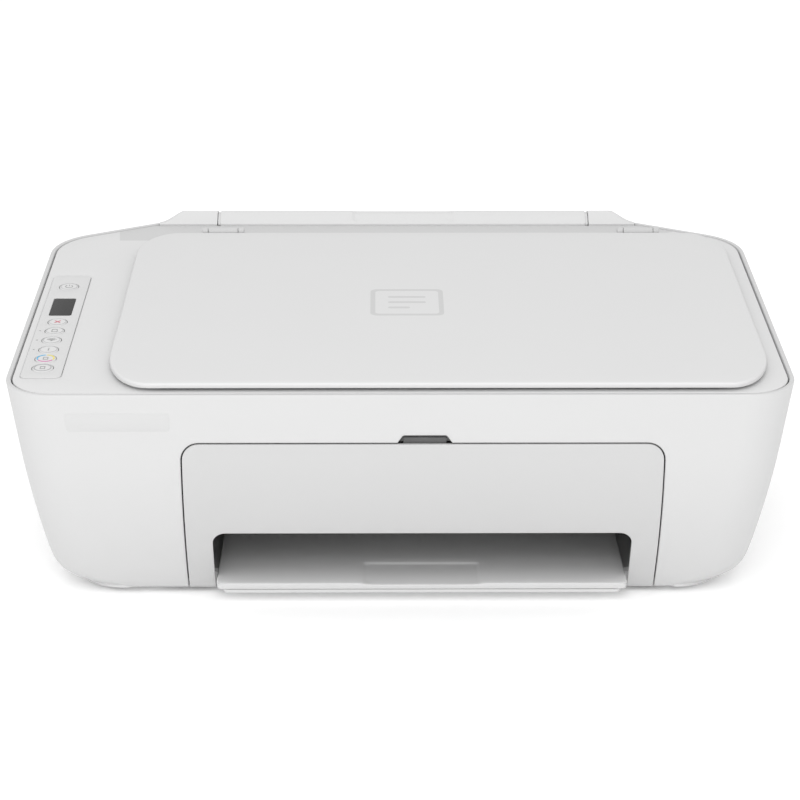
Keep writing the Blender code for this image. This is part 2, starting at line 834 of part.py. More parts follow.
def roller(name, centre, sleeve_radius, sleeves, look=rubber):
    """Steel shaft with rubber sleeves, carried by the chassis plates."""
    left = gear_left - gear_width / 2 - 0.001
    right = chassis_right + 0.0015
    profile = [(left, axle_radius)]
    for start, end in sleeves:
        profile += [(start, axle_radius), (start, sleeve_radius), (end, sleeve_radius), (end, axle_radius)]
    profile.append((right, axle_radius))
    piece = turned(name, centre, profile, look, 14)
    hang(piece, (left, *centre))


def build_rollers():
    centre = (feeder_left + feeder_right) / 2
    roller("feed_roller", (back(feed_back), feed_height), roller_radius, [(centre - 0.112, centre + 0.112)])
    wheels = [(centre + x - 0.006, centre + x + 0.006) for x in (-0.078, -0.026, 0.026, 0.078)]
    roller("discharge_roller", (back(discharge_back), discharge_height), 0.0055, wheels)
    pads = [(centre + x - 0.012, centre + x + 0.012) for x in (-0.024, 0.024)]
    roller("pick_roller", (back(pick_back), pick_height), 0.009, pads)
    bar_y = back(discharge_back)
    bar_low = (centre - 0.112, bar_y - 0.005, paper_height + 0.0032)
    bar_high = (centre + 0.112, bar_y + 0.005, paper_height + 0.0060)
    bar = box("star_wheel_bar", bar_low, bar_high, dark)
    for start, end in wheels:
        middle = (start + end) / 2
        wheel = rod("wheel", "X", middle - 0.0008, middle + 0.0008, (bar_y, paper_height + 0.0042), 0.0035, dark, 12)
        join(bar, wheel)
    platen_low = (centre - 0.114, back(discharge_back) + 0.0075, paper_height - 0.004)
    platen_high = (centre + 0.114, back(feed_back) - roller_radius - 0.002, paper_height - 0.0008)
    platen = box("print_platen", platen_low, platen_high, dark)
    ribs = []
    for i in range(13):
        x = centre - 0.108 + 0.018 * i
        low = (x - 0.0007, platen_low[1] + 0.002, platen_high[2] - 0.001)
        high = (x + 0.0007, platen_high[1] - 0.002, paper_height)
        ribs.append(box("rib", low, high, dark))
    join(platen, *ribs)


def build_chassis():
    low = floor_top + gap
    deck_low = tray_top + 0.0015
    front = back(discharge_back) - 0.009
    base = box(
        "chassis",
        (chassis_left, front, deck_low),
        (chassis_right, back(pick_back) + 0.024, deck_low + 0.002),
        dark,
    )
    top = paper_height + 0.001
    side = [
        (front, low),
        (back(pick_back) + 0.006, low),
        (back(pick_back) + 0.006, rail_low - gap),
        (back(pick_back) - 0.008, rail_low - gap),
        (back(pick_back) - 0.014, top),
        (front, top),
    ]
    for x in (chassis_left, chassis_right - chassis_plate):
        join(base, prism("side", side, "X", x, x + chassis_plate, dark))
    holes = [
        (back(feed_back), feed_height),
        (back(discharge_back), discharge_height),
        (back(pick_back), pick_height),
    ]
    for centre in holes:
        cut(base, rod("bearing", "X", -0.2, 0.2, centre, axle_radius + gap, dark, 16))
    idler = (back(idler_back), feed_height)
    end = gear_left - gear_width / 2 - 0.001
    join(base, rod("stub", "X", end, chassis_left + 0.001, idler, axle_radius, dark, 16))
    platen_y = (back(discharge_back) + back(feed_back)) / 2
    leg_low = (-0.09, platen_y - 0.006, deck_low + 0.001)
    leg_high = (0.10, platen_y + 0.006, paper_height - 0.004 - gap)
    join(base, box("platen_stand", leg_low, leg_high, dark))
    motor_centre = (back(motor_back), feed_height)
    cut(base, rod("shaft_hole", "X", chassis_left - 0.002, chassis_left + 0.004, motor_centre, 0.0035, dark, 12))
    motor = rod("feed_motor", "X", chassis_left + chassis_plate + gap, -0.118, motor_centre, 0.0115, steel, 20)
    join(motor, rod("shaft", "X", gear_left - 0.004, -0.14, motor_centre, axle_radius, steel, 16))


# ---- carriage -----------------------------------------------------------------------------
def build_carriage():
    half = carriage_width / 2
    x = carriage_home
    low = paper_height + 0.0045
    front = back(carriage_front)
    rear = front + carriage_depth
    side = [
        (front, low + 0.006),
        (front + 0.010, low),
        (rear, low),
        (rear, carriage_top),
        (rear - 0.030, carriage_top),
        (front, carriage_top - 0.030),
    ]
    body = prism("print_carriage", side, "X", x - half, x + half, dark)
    bays = []
    for centre in (x - 0.0205, x + 0.0205):
        bays.append(
            box(
                "bay",
                (centre - 0.0185, front - 0.002, low + 0.003),
                (centre + 0.0185, rear - 0.004, carriage_top + 0.01),
                dark,
            )
        )
    cut(body, *bays)
    boss = rod("boss", "X", x - 0.034, x + 0.034, (back(rod_back), rod_height), 0.0078, dark, 16)
    web_low = (x - 0.034, rear - 0.002, rod_height - 0.005)
    web_high = (x + 0.034, back(rod_back), rod_height + 0.005)
    clamp_low = (x - 0.010, rear - 0.002, belt_height - pulley_radius - 0.008)
    clamp_high = (x + 0.010, back(rod_back) + 0.008, belt_height - pulley_radius - belt_thickness - gap)
    join(body, boss, box("web", web_low, web_high, dark), box("clamp", clamp_low, clamp_high, dark))
    cut(body, rod("bore", "X", x - 0.1, x + 0.1, (back(rod_back), rod_height), rod_radius + gap, dark, 16))
    hang(body, (x, back(rod_back), rod_height))
    inks = (("black_cartridge", x - 0.0205, dark), ("color_cartridge", x + 0.0205, mid_grey))
    for name, centre, look in inks:
        slim = 0.0185 - gap
        shape = [
            (front + 0.004, low + 0.010),
            (front + 0.014, low + 0.003 + gap),
            (rear - 0.0055, low + 0.003 + gap),
            (rear - 0.0055, carriage_top - 0.008),
            (rear - 0.030, carriage_top - 0.004),
            (front + 0.004, carriage_top - 0.034),
        ]
        ink = prism(name, shape, "X", centre - slim, centre + slim, look)
        hang(ink, (x, back(rod_back), rod_height))


def build_carriage_drive():
    web_low = (-rail_half, back(rail_back), rail_low)
    web_high = (rail_half, back(rail_back) + 0.0015, rail_top)
    rail = box("carriage_rail", web_low, web_high, steel)
    for side in (-1, 1):
        ends = sorted((side * rail_half, side * (rail_half - 0.0015)))
        tab_low = (ends[0], back(rod_back) - 0.009, rail_low)
        tab_high = (ends[1], back(rail_back) + 0.001, rail_top)
        join(rail, box("tab", tab_low, tab_high, steel))
    gear_low = (gear_left - gear_width, back(rail_back) - 0.01, rail_low - 0.01)
    gear_high = (gear_left + gear_width, back(rail_back) + 0.01, pick_height + 0.0235)
    cut(rail, box("gear_room", gear_low, gear_high, steel))
    spindle = rail_half - 0.0125
    rod_centre = (back(rod_back), rod_height)
    for side in (-1, 1):
        ends = sorted((side * (rail_half + 0.001), side * (rail_half - 0.0045)))
        cut(rail, rod("seat", "X", *ends, rod_centre, rod_radius + gap, steel, 16))
    belt_front = back(rod_back) + 0.004
    belt_back = belt_front + 0.005
    hole = rod("shaft_hole", "Y", belt_back, back(rail_back) + 0.01, (spindle, belt_height), 0.0016 + gap, steel, 12)
    cut(rail, hole)
    post = rod("post", "Y", belt_front - 0.001, back(rail_back) + 0.001, (-spindle, belt_height), 0.0016, steel, 12)
    join(rail, post)
    rod("carriage_rod", "X", -rail_half, rail_half, rod_centre, rod_radius, steel, 16)
    for name, x in (("idler_pulley", -spindle), ("motor_pulley", spindle)):
        radius = pulley_radius - gap
        pulley = rod(name, "Y", belt_front, belt_back, (x, belt_height), radius, mid_grey, 20)
        cut(pulley, rod("bore", "Y", belt_front - 0.01, belt_back + 0.01, (x, belt_height), 0.0019, mid_grey, 12))
        hang(pulley, (x, belt_front, belt_height))
    outer = pulley_radius + belt_thickness
    loops = []
    for radius in (outer, pulley_radius):
        run = arc((spindle, belt_height), radius, -90, 90, 10)
        run += arc((-spindle, belt_height), radius, 90, 270, 10)
        loops.append(run)
    belt = prism("drive_belt", loops[0], "Y", belt_front, belt_back, rubber)
    cut(belt, prism("inside", loops[1], "Y", belt_front - 0.01, belt_back + 0.01, rubber))
    motor_y = back(rail_back) + 0.0015 + gap
    motor = rod("carriage_motor", "Y", motor_y, motor_y + 0.024, (spindle, belt_height), 0.0115, steel, 20)
    join(motor, rod("shaft", "Y", belt_front, motor_y + 0.002, (spindle, belt_height), 0.0016, steel, 12))
    strip_y = back(rod_back) - 0.0045
    strip_low = (-rail_half + 0.0015 + gap, strip_y, 0.078)
    strip_high = (rail_half - 0.0015 - gap, strip_y + 0.0005, 0.086)
    box("encoder_strip", strip_low, strip_high, mid_grey)


# ---- inside boxes, sockets and feet -------------------------------------------------------
def build_inside():
    top = paper_height + 0.0005
    left = chassis_right + 0.0055
    station = box("service_station", (left, back(0.120), 0.010), (0.170, back(0.182), top), mid_grey)
    pockets = [
        box("pocket", (x - 0.007, back(0.132), top - 0.006), (x + 0.007, back(0.156), top + 0.01), mid_grey)
        for x in (left + 0.0095, left + 0.0255)
    ]
    cut(station, *pockets)
    board = box("main_board", (0.134, back(0.192), 0.020), (0.176, back(0.236), 0.0216), board_green)
    chip = box("chip", (0.145, back(0.205), 0.021), (0.160, back(0.220), 0.0236), dark)
    plug = box("plug", (0.165, back(0.195), 0.021), (0.172, back(0.230), 0.026), dark)
    join(board, chip, plug)
    box("power_supply", (inlet_x - 0.020, rear_y - 0.066, 0.008), (inlet_x + 0.060, rear_y - 0.020, 0.040), dark, None, 0.001)
    inlet_back = rear_y - 0.0035
    inlet = box(
        "mains_inlet",
        (inlet_x - 0.013, rear_y - 0.0195, 0.016),
        (inlet_x + 0.013, inlet_back, 0.035),
        dark,
    )
    socket = rounded((inlet_x - 0.0085, 0.0205), (inlet_x + 0.0085, 0.0305), 0.0048, 4)
    cut(inlet, prism("socket", socket, "Y", inlet_back - 0.0105, inlet_back + 0.01, dark))
    for x in (inlet_x - 0.0042, inlet_x + 0.0042):
        join(inlet, rod("pin", "Y", inlet_back - 0.012, inlet_back - 0.002, (x, 0.0255), 0.0012, dark, 8))
    port = box("usb_port", (usb_x - 0.0065, rear_y - 0.021, 0.019), (usb_x + 0.0065, inlet_back, 0.031), steel)
    mouth_low = (usb_x - 0.0045, inlet_back - 0.011, 0.0208)
    mouth_high = (usb_x + 0.0045, inlet_back + 0.01, 0.0292)
    cut(port, box("mouth", mouth_low, mouth_high, steel))
    tongue_low = (usb_x - 0.0025, inlet_back - 0.013, 0.0236)
    tongue_high = (usb_x + 0.0025, inlet_back - 0.0055, 0.0264)
    join(port, box("tongue", tongue_low, tongue_high, steel))


def build_feet():
    for name, x, distance in (
        ("foot_front_left", -0.150, 0.062),
        ("foot_front_right", 0.158, 0.062),
        ("foot_rear_left", -0.150, body_depth - 0.069),
        ("foot_rear_right", 0.150, body_depth - 0.069),
    ):
        rod(name, "Z", 0, base_height - gap, (x, back(distance)), 0.008, rubber, 16)


def main():
    for leftover in list(bpy.data.objects):
        bpy.data.objects.remove(leftover)
    build_body()
    build_rear_cover()
    build_input_tray()
    build_paper_guides()
    bezel = build_bezel()
    build_scanner()
    build_lid(bezel)
    build_controls()
    build_output_tray()
    build_gears()
    build_rollers()
    build_chassis()
    build_carriage()
    build_carriage_drive()
    build_inside()
    build_feet()


main()
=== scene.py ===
import bpy
import bmesh
import math
from mathutils import Matrix, Vector
from mathutils.geometry import delaunay_2d_cdt


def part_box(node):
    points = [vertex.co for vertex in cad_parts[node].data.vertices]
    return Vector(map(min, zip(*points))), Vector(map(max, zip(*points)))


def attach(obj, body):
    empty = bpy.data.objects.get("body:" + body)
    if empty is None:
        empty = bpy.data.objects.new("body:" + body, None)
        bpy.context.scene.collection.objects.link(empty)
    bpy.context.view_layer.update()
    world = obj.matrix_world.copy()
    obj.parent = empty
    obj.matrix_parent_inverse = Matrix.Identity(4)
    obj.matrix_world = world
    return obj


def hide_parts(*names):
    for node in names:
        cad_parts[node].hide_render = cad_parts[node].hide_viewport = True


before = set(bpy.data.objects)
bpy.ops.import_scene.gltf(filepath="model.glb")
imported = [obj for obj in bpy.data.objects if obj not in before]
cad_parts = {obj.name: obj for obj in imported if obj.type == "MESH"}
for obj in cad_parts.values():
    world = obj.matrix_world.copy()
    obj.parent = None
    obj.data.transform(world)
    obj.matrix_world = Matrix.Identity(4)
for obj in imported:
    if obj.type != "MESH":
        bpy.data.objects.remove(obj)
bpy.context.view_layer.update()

print("stage: frame loaded,", len(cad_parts), "nodes")

# the body's form, in metres: the same driving sizes as the solid model
bodyShape = {
    "rimFront": 0.1259, "rimRear": 0.149825, "base": 0.003, "wall": 0.0026,
    "sideFlare": 0.020, "sideCurl": 0.022, "curlPower": 32, "frontCurl": 0.030, "frontPower": 1.8,
    "frontUpright": 0.3, "rearDraft": 0.004, "rearCurlShare": 0.4,
    "frontCorner": 0.026, "rearCorner": 0.036, "rearRun": 0.082,
    "rearBend": math.radians(62), "rearBlend": 0.060,
}
tubLow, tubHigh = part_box("base_tub")
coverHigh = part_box("rear_cover")[1]
halfWidth = tubHigh[0]
frontY = tubLow[1]
rearY = coverHigh[1]
topZ = coverHigh[2]
tilt = math.atan2(bodyShape["rimRear"] - bodyShape["rimFront"], rearY - frontY)
deckFrame = Matrix.Translation((0, frontY, bodyShape["rimFront"])) @ Matrix.Rotation(tilt, 4, "X")


# small shape helpers
def rimHeight(y):
    return bodyShape["rimFront"] + (y - frontY) * math.tan(tilt)


def back(distance):
    return frontY + distance


def openLoop(loop):  # an opening's outline runs clockwise
    return list(reversed(loop))


def flatAt(height):  # place function of a level panel whose top is at this height
    return lambda x, y, depth: Vector((x, y, height - depth))


def sideAt(x):  # place function of an upright panel that starts at x and thickens to the right
    return lambda y, z, depth: Vector((x + depth, y, z))


def smoothStep(value, low, high):
    t = min(max((value - low) / (high - low), 0.0), 1.0)
    return t * t * (3 - 2 * t)


def arcPoints(cx, cy, radius, start, end, steps):
    points = []
    for i in range(steps + 1):
        a = math.radians(start + (end - start) * i / steps)
        points.append((cx + radius * math.cos(a), cy + radius * math.sin(a)))
    return points


def roundedLoop(x0, y0, x1, y1, radius, steps=8):  # anticlockwise
    corners = [(x1 - radius, y0 + radius, -90), (x1 - radius, y1 - radius, 0),
               (x0 + radius, y1 - radius, 90), (x0 + radius, y0 + radius, 180)]
    return [p for cx, cy, a in corners for p in arcPoints(cx, cy, radius, a, a + 90, steps)]


def circleLoop(cx, cy, radius, steps=32):
    return arcPoints(cx, cy, radius, 0, 360 - 360 / steps, steps - 1)


def denser(loop, spacing, closed=True):  # adds points so that no side is longer than spacing
    points = []
    last = len(loop) if closed else len(loop) - 1
    for i in range(last):
        a, b = Vector(loop[i]), Vector(loop[(i + 1) % len(loop)])
        steps = max(1, math.ceil((b - a).length / spacing - 1e-6))
        points += [tuple(a.lerp(b, k / steps)) for k in range(steps)]
    if not closed:
        points.append(tuple(loop[-1]))
    return points


def offsetLoop(loop, distance):  # moves a closed loop to its left, where the material is
    if distance == 0:
        return list(loop)
    count = len(loop)
    moved = []
    for i in range(count):
        before, here, after = (Vector(loop[(i + k) % count]) for k in (-1, 0, 1))
        first = (here - before).normalized()
        second = (after - here).normalized()
        n1, n2 = Vector((-first.y, first.x)), Vector((-second.y, second.x))
        middle = n1 + n2
        if middle.length < 1e-6:
            middle = n1
        middle.normalize()
        moved.append(tuple(here + middle * (distance / max(middle.dot(n1), 0.5))))
    return moved


def insideLoop(x, y, loop):
    inside = False
    j = len(loop) - 1
    for i in range(len(loop)):
        xi, yi = loop[i]
        xj, yj = loop[j]
        if (yi > y) != (yj > y) and x < (xj - xi) * (y - yi) / (yj - yi) + xi:
            inside = not inside
        j = i
    return inside


def inMaterial(x, y, loops):
    return insideLoop(x, y, loops[0]) and not any(insideLoop(x, y, hole) for hole in loops[1:])


def fillFlat(loops, spacing, creases=()):  # triangles between loops, on a grid of inner points
    points, edges, owner = [], [], []
    for which, loop in enumerate(loops):
        start = len(points)
        points += [Vector(p) for p in loop]
        owner += [(which, i) for i in range(len(loop))]
        edges += [(start + i, start + (i + 1) % len(loop)) for i in range(len(loop))]
    for crease in creases:
        start = len(points)
        points += [Vector(p) for p in crease]
        owner += [None] * len(crease)
        edges += [(start + i, start + i + 1) for i in range(len(crease) - 1)]
    if spacing:
        fixed = {}
        for p in points:
            fixed.setdefault((int(p.x // spacing), int(p.y // spacing)), []).append(p)
        xs = [p[0] for p in loops[0]]
        ys = [p[1] for p in loops[0]]
        columns = int((max(xs) - min(xs)) / spacing)
        rows = int((max(ys) - min(ys)) / spacing)
        for row in range(1, rows + 1):
            y = min(ys) + row * spacing
            for column in range(1, columns + 1):
                x = min(xs) + column * spacing
                if not inMaterial(x, y, loops):
                    continue
                cell = (int(x // spacing), int(y // spacing))
                near = [p for i in (-1, 0, 1) for j in (-1, 0, 1)
                        for p in fixed.get((cell[0] + i, cell[1] + j), [])]
                if all((p.x - x) ** 2 + (p.y - y) ** 2 > (0.45 * spacing) ** 2 for p in near):
                    points.append(Vector((x, y)))
                    owner.append(None)
    verts, _, faces, sources, _, _ = delaunay_2d_cdt(points, edges, [], 0, 1e-7)
    kept = []
    for face in faces:
        cx = sum(verts[i].x for i in face) / len(face)
        cy = sum(verts[i].y for i in face) / len(face)
        if inMaterial(cx, cy, loops):
            kept.append(face)
    names = []
    for source in sources:
        named = [owner[i] for i in source if owner[i] is not None]
        names.append(named[0] if named else None)
    return [tuple(v) for v in verts], kept, names


def makeObject(name, work, looks, sharp=35):
    bmesh.ops.remove_doubles(work, verts=work.verts[:], dist=0.000004)
    bmesh.ops.recalc_face_normals(work, faces=work.faces[:])
    mesh = bpy.data.meshes.new(name)
    work.to_mesh(mesh)
    work.free()
    mesh.shade_smooth()
    mesh.set_sharp_from_angle(angle=math.radians(sharp))
    piece = bpy.data.objects.new(name, mesh)
    bpy.context.scene.collection.objects.link(piece)
    for look in looks if isinstance(looks, (list, tuple)) else [looks]:
        mesh.materials.append(look)
    return piece


def refinish(piece, chosen):  # the second finish, painted shade, on the faces that chosen picks
    for polygon in piece.data.polygons:
        if chosen(polygon):
            polygon.material_index = 1


# a moulded panel: loops with the material on their left, an edge radius on the show side,
# and a place function that lifts (a, b, depth) into space
def addPanel(work, loops, place, thick, edge, spacing, steps=4, underEdge=0.0, creases=(), weld=None):
    rings = []
    for i in range(steps + 1):
        a = math.pi / 2 * i / steps
        rings.append((edge * (1 - math.cos(a)), edge * (1 - math.sin(a))))
    rings.reverse()  # from the top face down to the side
    if underEdge:
        for i in range(steps + 1):
            a = math.pi / 2 * i / steps
            rings.append((underEdge * (1 - math.cos(a)), thick - underEdge * (1 - math.sin(a))))
    else:
        rings.append((0.0, thick))
    grid = []
    for inset, depth in rings:
        flat = [offsetLoop(loop, inset) for loop in loops]
        if weld:
            flat = [[(p[0] if not weld(q) else q[0], p[1]) for p, q in zip(f, loop)]
                    for f, loop in zip(flat, loops)]
        grid.append((flat, [[work.verts.new(place(x, y, depth)) for x, y in loop] for loop in flat]))
    for (_, upper), (_, lower) in zip(grid, grid[1:]):
        for which, loop in enumerate(loops):
            count = len(loop)
            for i in range(count):
                j = (i + 1) % count
                if weld and weld(loop[i]) and weld(loop[j]):
                    continue
                work.faces.new((upper[which][i], lower[which][i], lower[which][j], upper[which][j]))
    for level, depth in ((0, rings[0][1]), (-1, rings[-1][1])):
        flat, verts = grid[level]
        points, faces, names = fillFlat(flat, spacing, creases if level == 0 else ())
        placed = []
        for point, name in zip(points, names):
            if name is None:
                placed.append(work.verts.new(place(point[0], point[1], depth)))
            else:
                placed.append(verts[name[0]][name[1]])
        for face in faces:
            corners = [placed[i] for i in face]
            if len(set(corners)) == len(corners):
                try:
                    work.faces.new(corners)
                except ValueError:
                    pass


def panelPiece(name, loops, place, thick, edge, spacing, look, **more):
    sharp = more.pop("sharp", 35)
    work = bmesh.new()
    addPanel(work, loops, place, thick, edge, spacing, **more)
    return makeObject(name, work, look, sharp)


def turnedPiece(name, profile, matrix, look, steps=32, sharp=35):  # (radius, height) pairs about local Z
    work = bmesh.new()
    rings = []
    for radius, height in profile:
        if radius == 0:
            rings.append([work.verts.new(matrix @ Vector((0, 0, height)))])
            continue
        ring = [(radius * math.cos(2 * math.pi * i / steps), radius * math.sin(2 * math.pi * i / steps))
                for i in range(steps)]
        rings.append([work.verts.new(matrix @ Vector((x, y, height))) for x, y in ring])
    for low, high in zip(rings, rings[1:]):
        for i in range(steps):
            j = (i + 1) % steps
            if len(low) == 1:
                work.faces.new((low[0], high[j], high[i]))
            elif len(high) == 1:
                work.faces.new((low[i], low[j], high[0]))
            else:
                work.faces.new((low[i], low[j], high[j], high[i]))
    for ring in (rings[0], rings[-1]):
        if len(ring) > 1:
            work.faces.new(ring)
    return makeObject(name, work, look, sharp)


def cutAway(piece, lows, highs):  # takes boxes out of a closed piece
    work = bmesh.new()
    for low, high in zip(lows, highs):
        made = bmesh.ops.create_cube(work, size=1)
        size = [h - l for l, h in zip(low, high)]
        middle = [(h + l) / 2 for l, h in zip(low, high)]
        bmesh.ops.scale(work, vec=size, verts=made["verts"])
        bmesh.ops.translate(work, vec=middle, verts=made["verts"])
    mesh = bpy.data.meshes.new("cutter")
    work.to_mesh(mesh)
    work.free()
    cutter = bpy.data.objects.new("cutter", mesh)
    bpy.context.scene.collection.objects.link(cutter)
    step = piece.modifiers.new("cut", "BOOLEAN")
    step.operation = "DIFFERENCE"
    step.solver = "EXACT"
    step.object = cutter
    bpy.context.view_layer.update()
    shaped = bpy.data.meshes.new_from_object(piece.evaluated_get(bpy.context.evaluated_depsgraph_get()))
    piece.modifiers.clear()
    old = piece.data
    piece.data = shaped
    shaped.name = old.name
    bpy.data.meshes.remove(old)
    bpy.data.objects.remove(cutter)
    return piece


def settle(piece, body, slotName, *nodes):  # rides and stands for CAD nodes
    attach(piece, body)
    if nodes:
        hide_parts(*nodes)
    return piece


# materials
def newGroup(name, inputs, outputs):
    tree = bpy.data.node_groups.new(name, "ShaderNodeTree")
    for label, kind, value in inputs:
        socket = tree.interface.new_socket(name=label, in_out="INPUT", socket_type=kind)
        if value is not None:
            socket.default_value = value
    for label, kind in outputs:
        tree.interface.new_socket(name=label, in_out="OUTPUT", socket_type=kind)
    start = tree.nodes.new("NodeGroupInput")
    end = tree.nodes.new("NodeGroupOutput")
    return tree, start, end


def mathNode(tree, kind, a, b=None, clamp=False):
    node = tree.nodes.new("ShaderNodeMath")
    node.operation = kind
    node.use_clamp = clamp
    for socket, value in zip(node.inputs, (a, b)):
        if value is None:
            continue
        if isinstance(value, (int, float)):
            socket.default_value = value
        else:
            tree.links.new(value, socket)
    return node.outputs[0]


def noiseNode(tree, vector, scale, detail=3.0, rough=0.5):
    node = tree.nodes.new("ShaderNodeTexNoise")
    tree.links.new(vector, node.inputs["Vector"])
    node.inputs["Scale"].default_value = scale
    node.inputs["Detail"].default_value = detail
    node.inputs["Roughness"].default_value = rough
    return node.outputs["Fac"]


def rampNode(tree, value, low, high, outLow=0.0, outHigh=1.0):
    node = tree.nodes.new("ShaderNodeMapRange")
    node.inputs["From Min"].default_value = low
    node.inputs["From Max"].default_value = high
    node.inputs["To Min"].default_value = outLow
    node.inputs["To Max"].default_value = outHigh
    tree.links.new(value, node.inputs["Value"])
    return node.outputs["Result"]


# spark-eroded mould grain: pebbles a third of a millimetre across over a slow waviness
def grainGroup():
    tree, start, end = newGroup("mouldGrain", [
        ("Grain Scale", "NodeSocketFloat", 3200.0), ("Roughness", "NodeSocketFloat", 0.45),
        ("Variation", "NodeSocketFloat", 0.05)],
        [("Height", "NodeSocketFloat"), ("Roughness", "NodeSocketFloat")])
    place = tree.nodes.new("ShaderNodeTexCoord").outputs["Object"]
    fine = tree.nodes.new("ShaderNodeTexNoise")
    tree.links.new(place, fine.inputs["Vector"])
    tree.links.new(start.outputs["Grain Scale"], fine.inputs["Scale"])
    fine.inputs["Detail"].default_value = 2.0
    slow = noiseNode(tree, place, 38.0, 3.0)
    height = mathNode(tree, "ADD", fine.outputs["Fac"], mathNode(tree, "MULTIPLY", slow, 0.35))
    tree.links.new(height, end.inputs["Height"])
    swing = mathNode(tree, "MULTIPLY", mathNode(tree, "SUBTRACT", slow, 0.5), start.outputs["Variation"])
    fineSwing = mathNode(tree, "MULTIPLY", mathNode(tree, "SUBTRACT", fine.outputs["Fac"], 0.5), 0.06)
    rough = mathNode(tree, "ADD", start.outputs["Roughness"], mathNode(tree, "ADD", swing, fineSwing))
    tree.links.new(rough, end.inputs["Roughness"])
    return tree


# handling marks: broad faint scuffs, rubbed edges and fine specks
def wearGroup():
    tree, start, end = newGroup("handlingWear", [
        ("Color", "NodeSocketColor", (0.8, 0.8, 0.8, 1)),
        ("Wear Color", "NodeSocketColor", (0.7, 0.7, 0.7, 1)),
        ("Amount", "NodeSocketFloat", 0.3)],
        [("Color", "NodeSocketColor"), ("Mask", "NodeSocketFloat")])
    place = tree.nodes.new("ShaderNodeTexCoord").outputs["Object"]
    broad = rampNode(tree, noiseNode(tree, place, 14.0, 4.0, 0.6), 0.42, 0.72)
    geometry = tree.nodes.new("ShaderNodeNewGeometry")
    edges = rampNode(tree, geometry.outputs["Pointiness"], 0.505, 0.56)
    specks = rampNode(tree, noiseNode(tree, place, 900.0, 2.0, 0.7), 0.66, 0.74)
    mixed = mathNode(tree, "MULTIPLY", broad, 0.35)
    for part, share in ((edges, 0.45), (specks, 0.20)):
        mixed = mathNode(tree, "ADD", mixed, mathNode(tree, "MULTIPLY", part, share))
    mask = mathNode(tree, "MULTIPLY", mixed, start.outputs["Amount"], True)
    mix = tree.nodes.new("ShaderNodeMix")
    mix.data_type = "RGBA"
    tree.links.new(mask, mix.inputs[0])
    tree.links.new(start.outputs["Color"], mix.inputs[6])
    tree.links.new(start.outputs["Wear Color"], mix.inputs[7])
    tree.links.new(mix.outputs[2], end.inputs["Color"])
    tree.links.new(mask, end.inputs["Mask"])
    return tree


def newLook(name):
    look = bpy.data.materials.new(name)
    look.use_nodes = True
    return look, look.node_tree, look.node_tree.nodes["Principled BSDF"]


def addBump(tree, shader, height, strength, distance):
    node = tree.nodes.new("ShaderNodeBump")
    node.inputs["Strength"].default_value = strength
    node.inputs["Distance"].default_value = distance
    tree.links.new(height, node.inputs["Height"])
    tree.links.new(node.outputs["Normal"], shader.inputs["Normal"])


def placeGroup(tree, group, values):
    node = tree.nodes.new("ShaderNodeGroup")
    node.node_tree = group
    for label, value in values:
        node.inputs[label].default_value = value
    return node


grainTree = grainGroup()
wearTree = wearGroup()


def plastic(name, color, rough=0.45, bump=0.12, grain=3200.0, wear=0.25, wearColor=None, specular=0.5,
            variation=0.06, metallic=0.0, coat=0.0):
    color = color if isinstance(color, tuple) else (color,) * 3  # one number is a neutral grey
    look, tree, shader = newLook(name)
    shader.inputs["Specular IOR Level"].default_value = specular
    shader.inputs["Metallic"].default_value = metallic
    shader.inputs["Coat Weight"].default_value = coat
    wearNode = placeGroup(tree, wearTree, [
        ("Color", (*color, 1)),
        ("Wear Color", (*(wearColor or [c * 0.93 for c in color]), 1)),
        ("Amount", wear)])
    tree.links.new(wearNode.outputs["Color"], shader.inputs["Base Color"])
    grainNode = placeGroup(tree, grainTree, [
        ("Grain Scale", grain),
        ("Roughness", rough),
        ("Variation", variation)])
    tree.links.new(grainNode.outputs["Roughness"], shader.inputs["Roughness"])
    addBump(tree, shader, grainNode.outputs["Height"], bump, 0.00012)
    return look


def brushedMetal(name, color, rough=0.3, stretch=(4, 400, 400)):
    look, tree, shader = newLook(name)
    shader.inputs["Base Color"].default_value = (*color, 1)
    shader.inputs["Metallic"].default_value = 1.0
    mapping = tree.nodes.new("ShaderNodeMapping")
    mapping.inputs["Scale"].default_value = stretch
    tree.links.new(tree.nodes.new("ShaderNodeTexCoord").outputs["Object"], mapping.inputs["Vector"])
    lines = noiseNode(tree, mapping.outputs["Vector"], 6.0, 4.0, 0.6)
    tree.links.new(rampNode(tree, lines, 0.2, 0.8, rough - 0.08, rough + 0.12), shader.inputs["Roughness"])
    addBump(tree, shader, lines, 0.15, 0.00005)
    return look


def glassLook(name, color):
    look, tree, shader = newLook(name)
    shader.inputs["Base Color"].default_value = (*color, 1)
    shader.inputs["IOR"].default_value = 1.5
    shader.inputs["Transmission Weight"].default_value = 1.0
    smudge = noiseNode(tree, tree.nodes.new("ShaderNodeTexCoord").outputs["Object"], 60.0, 4.0, 0.6)
    tree.links.new(rampNode(tree, smudge, 0.35, 0.75, 0.01, 0.09), shader.inputs["Roughness"])
    return look


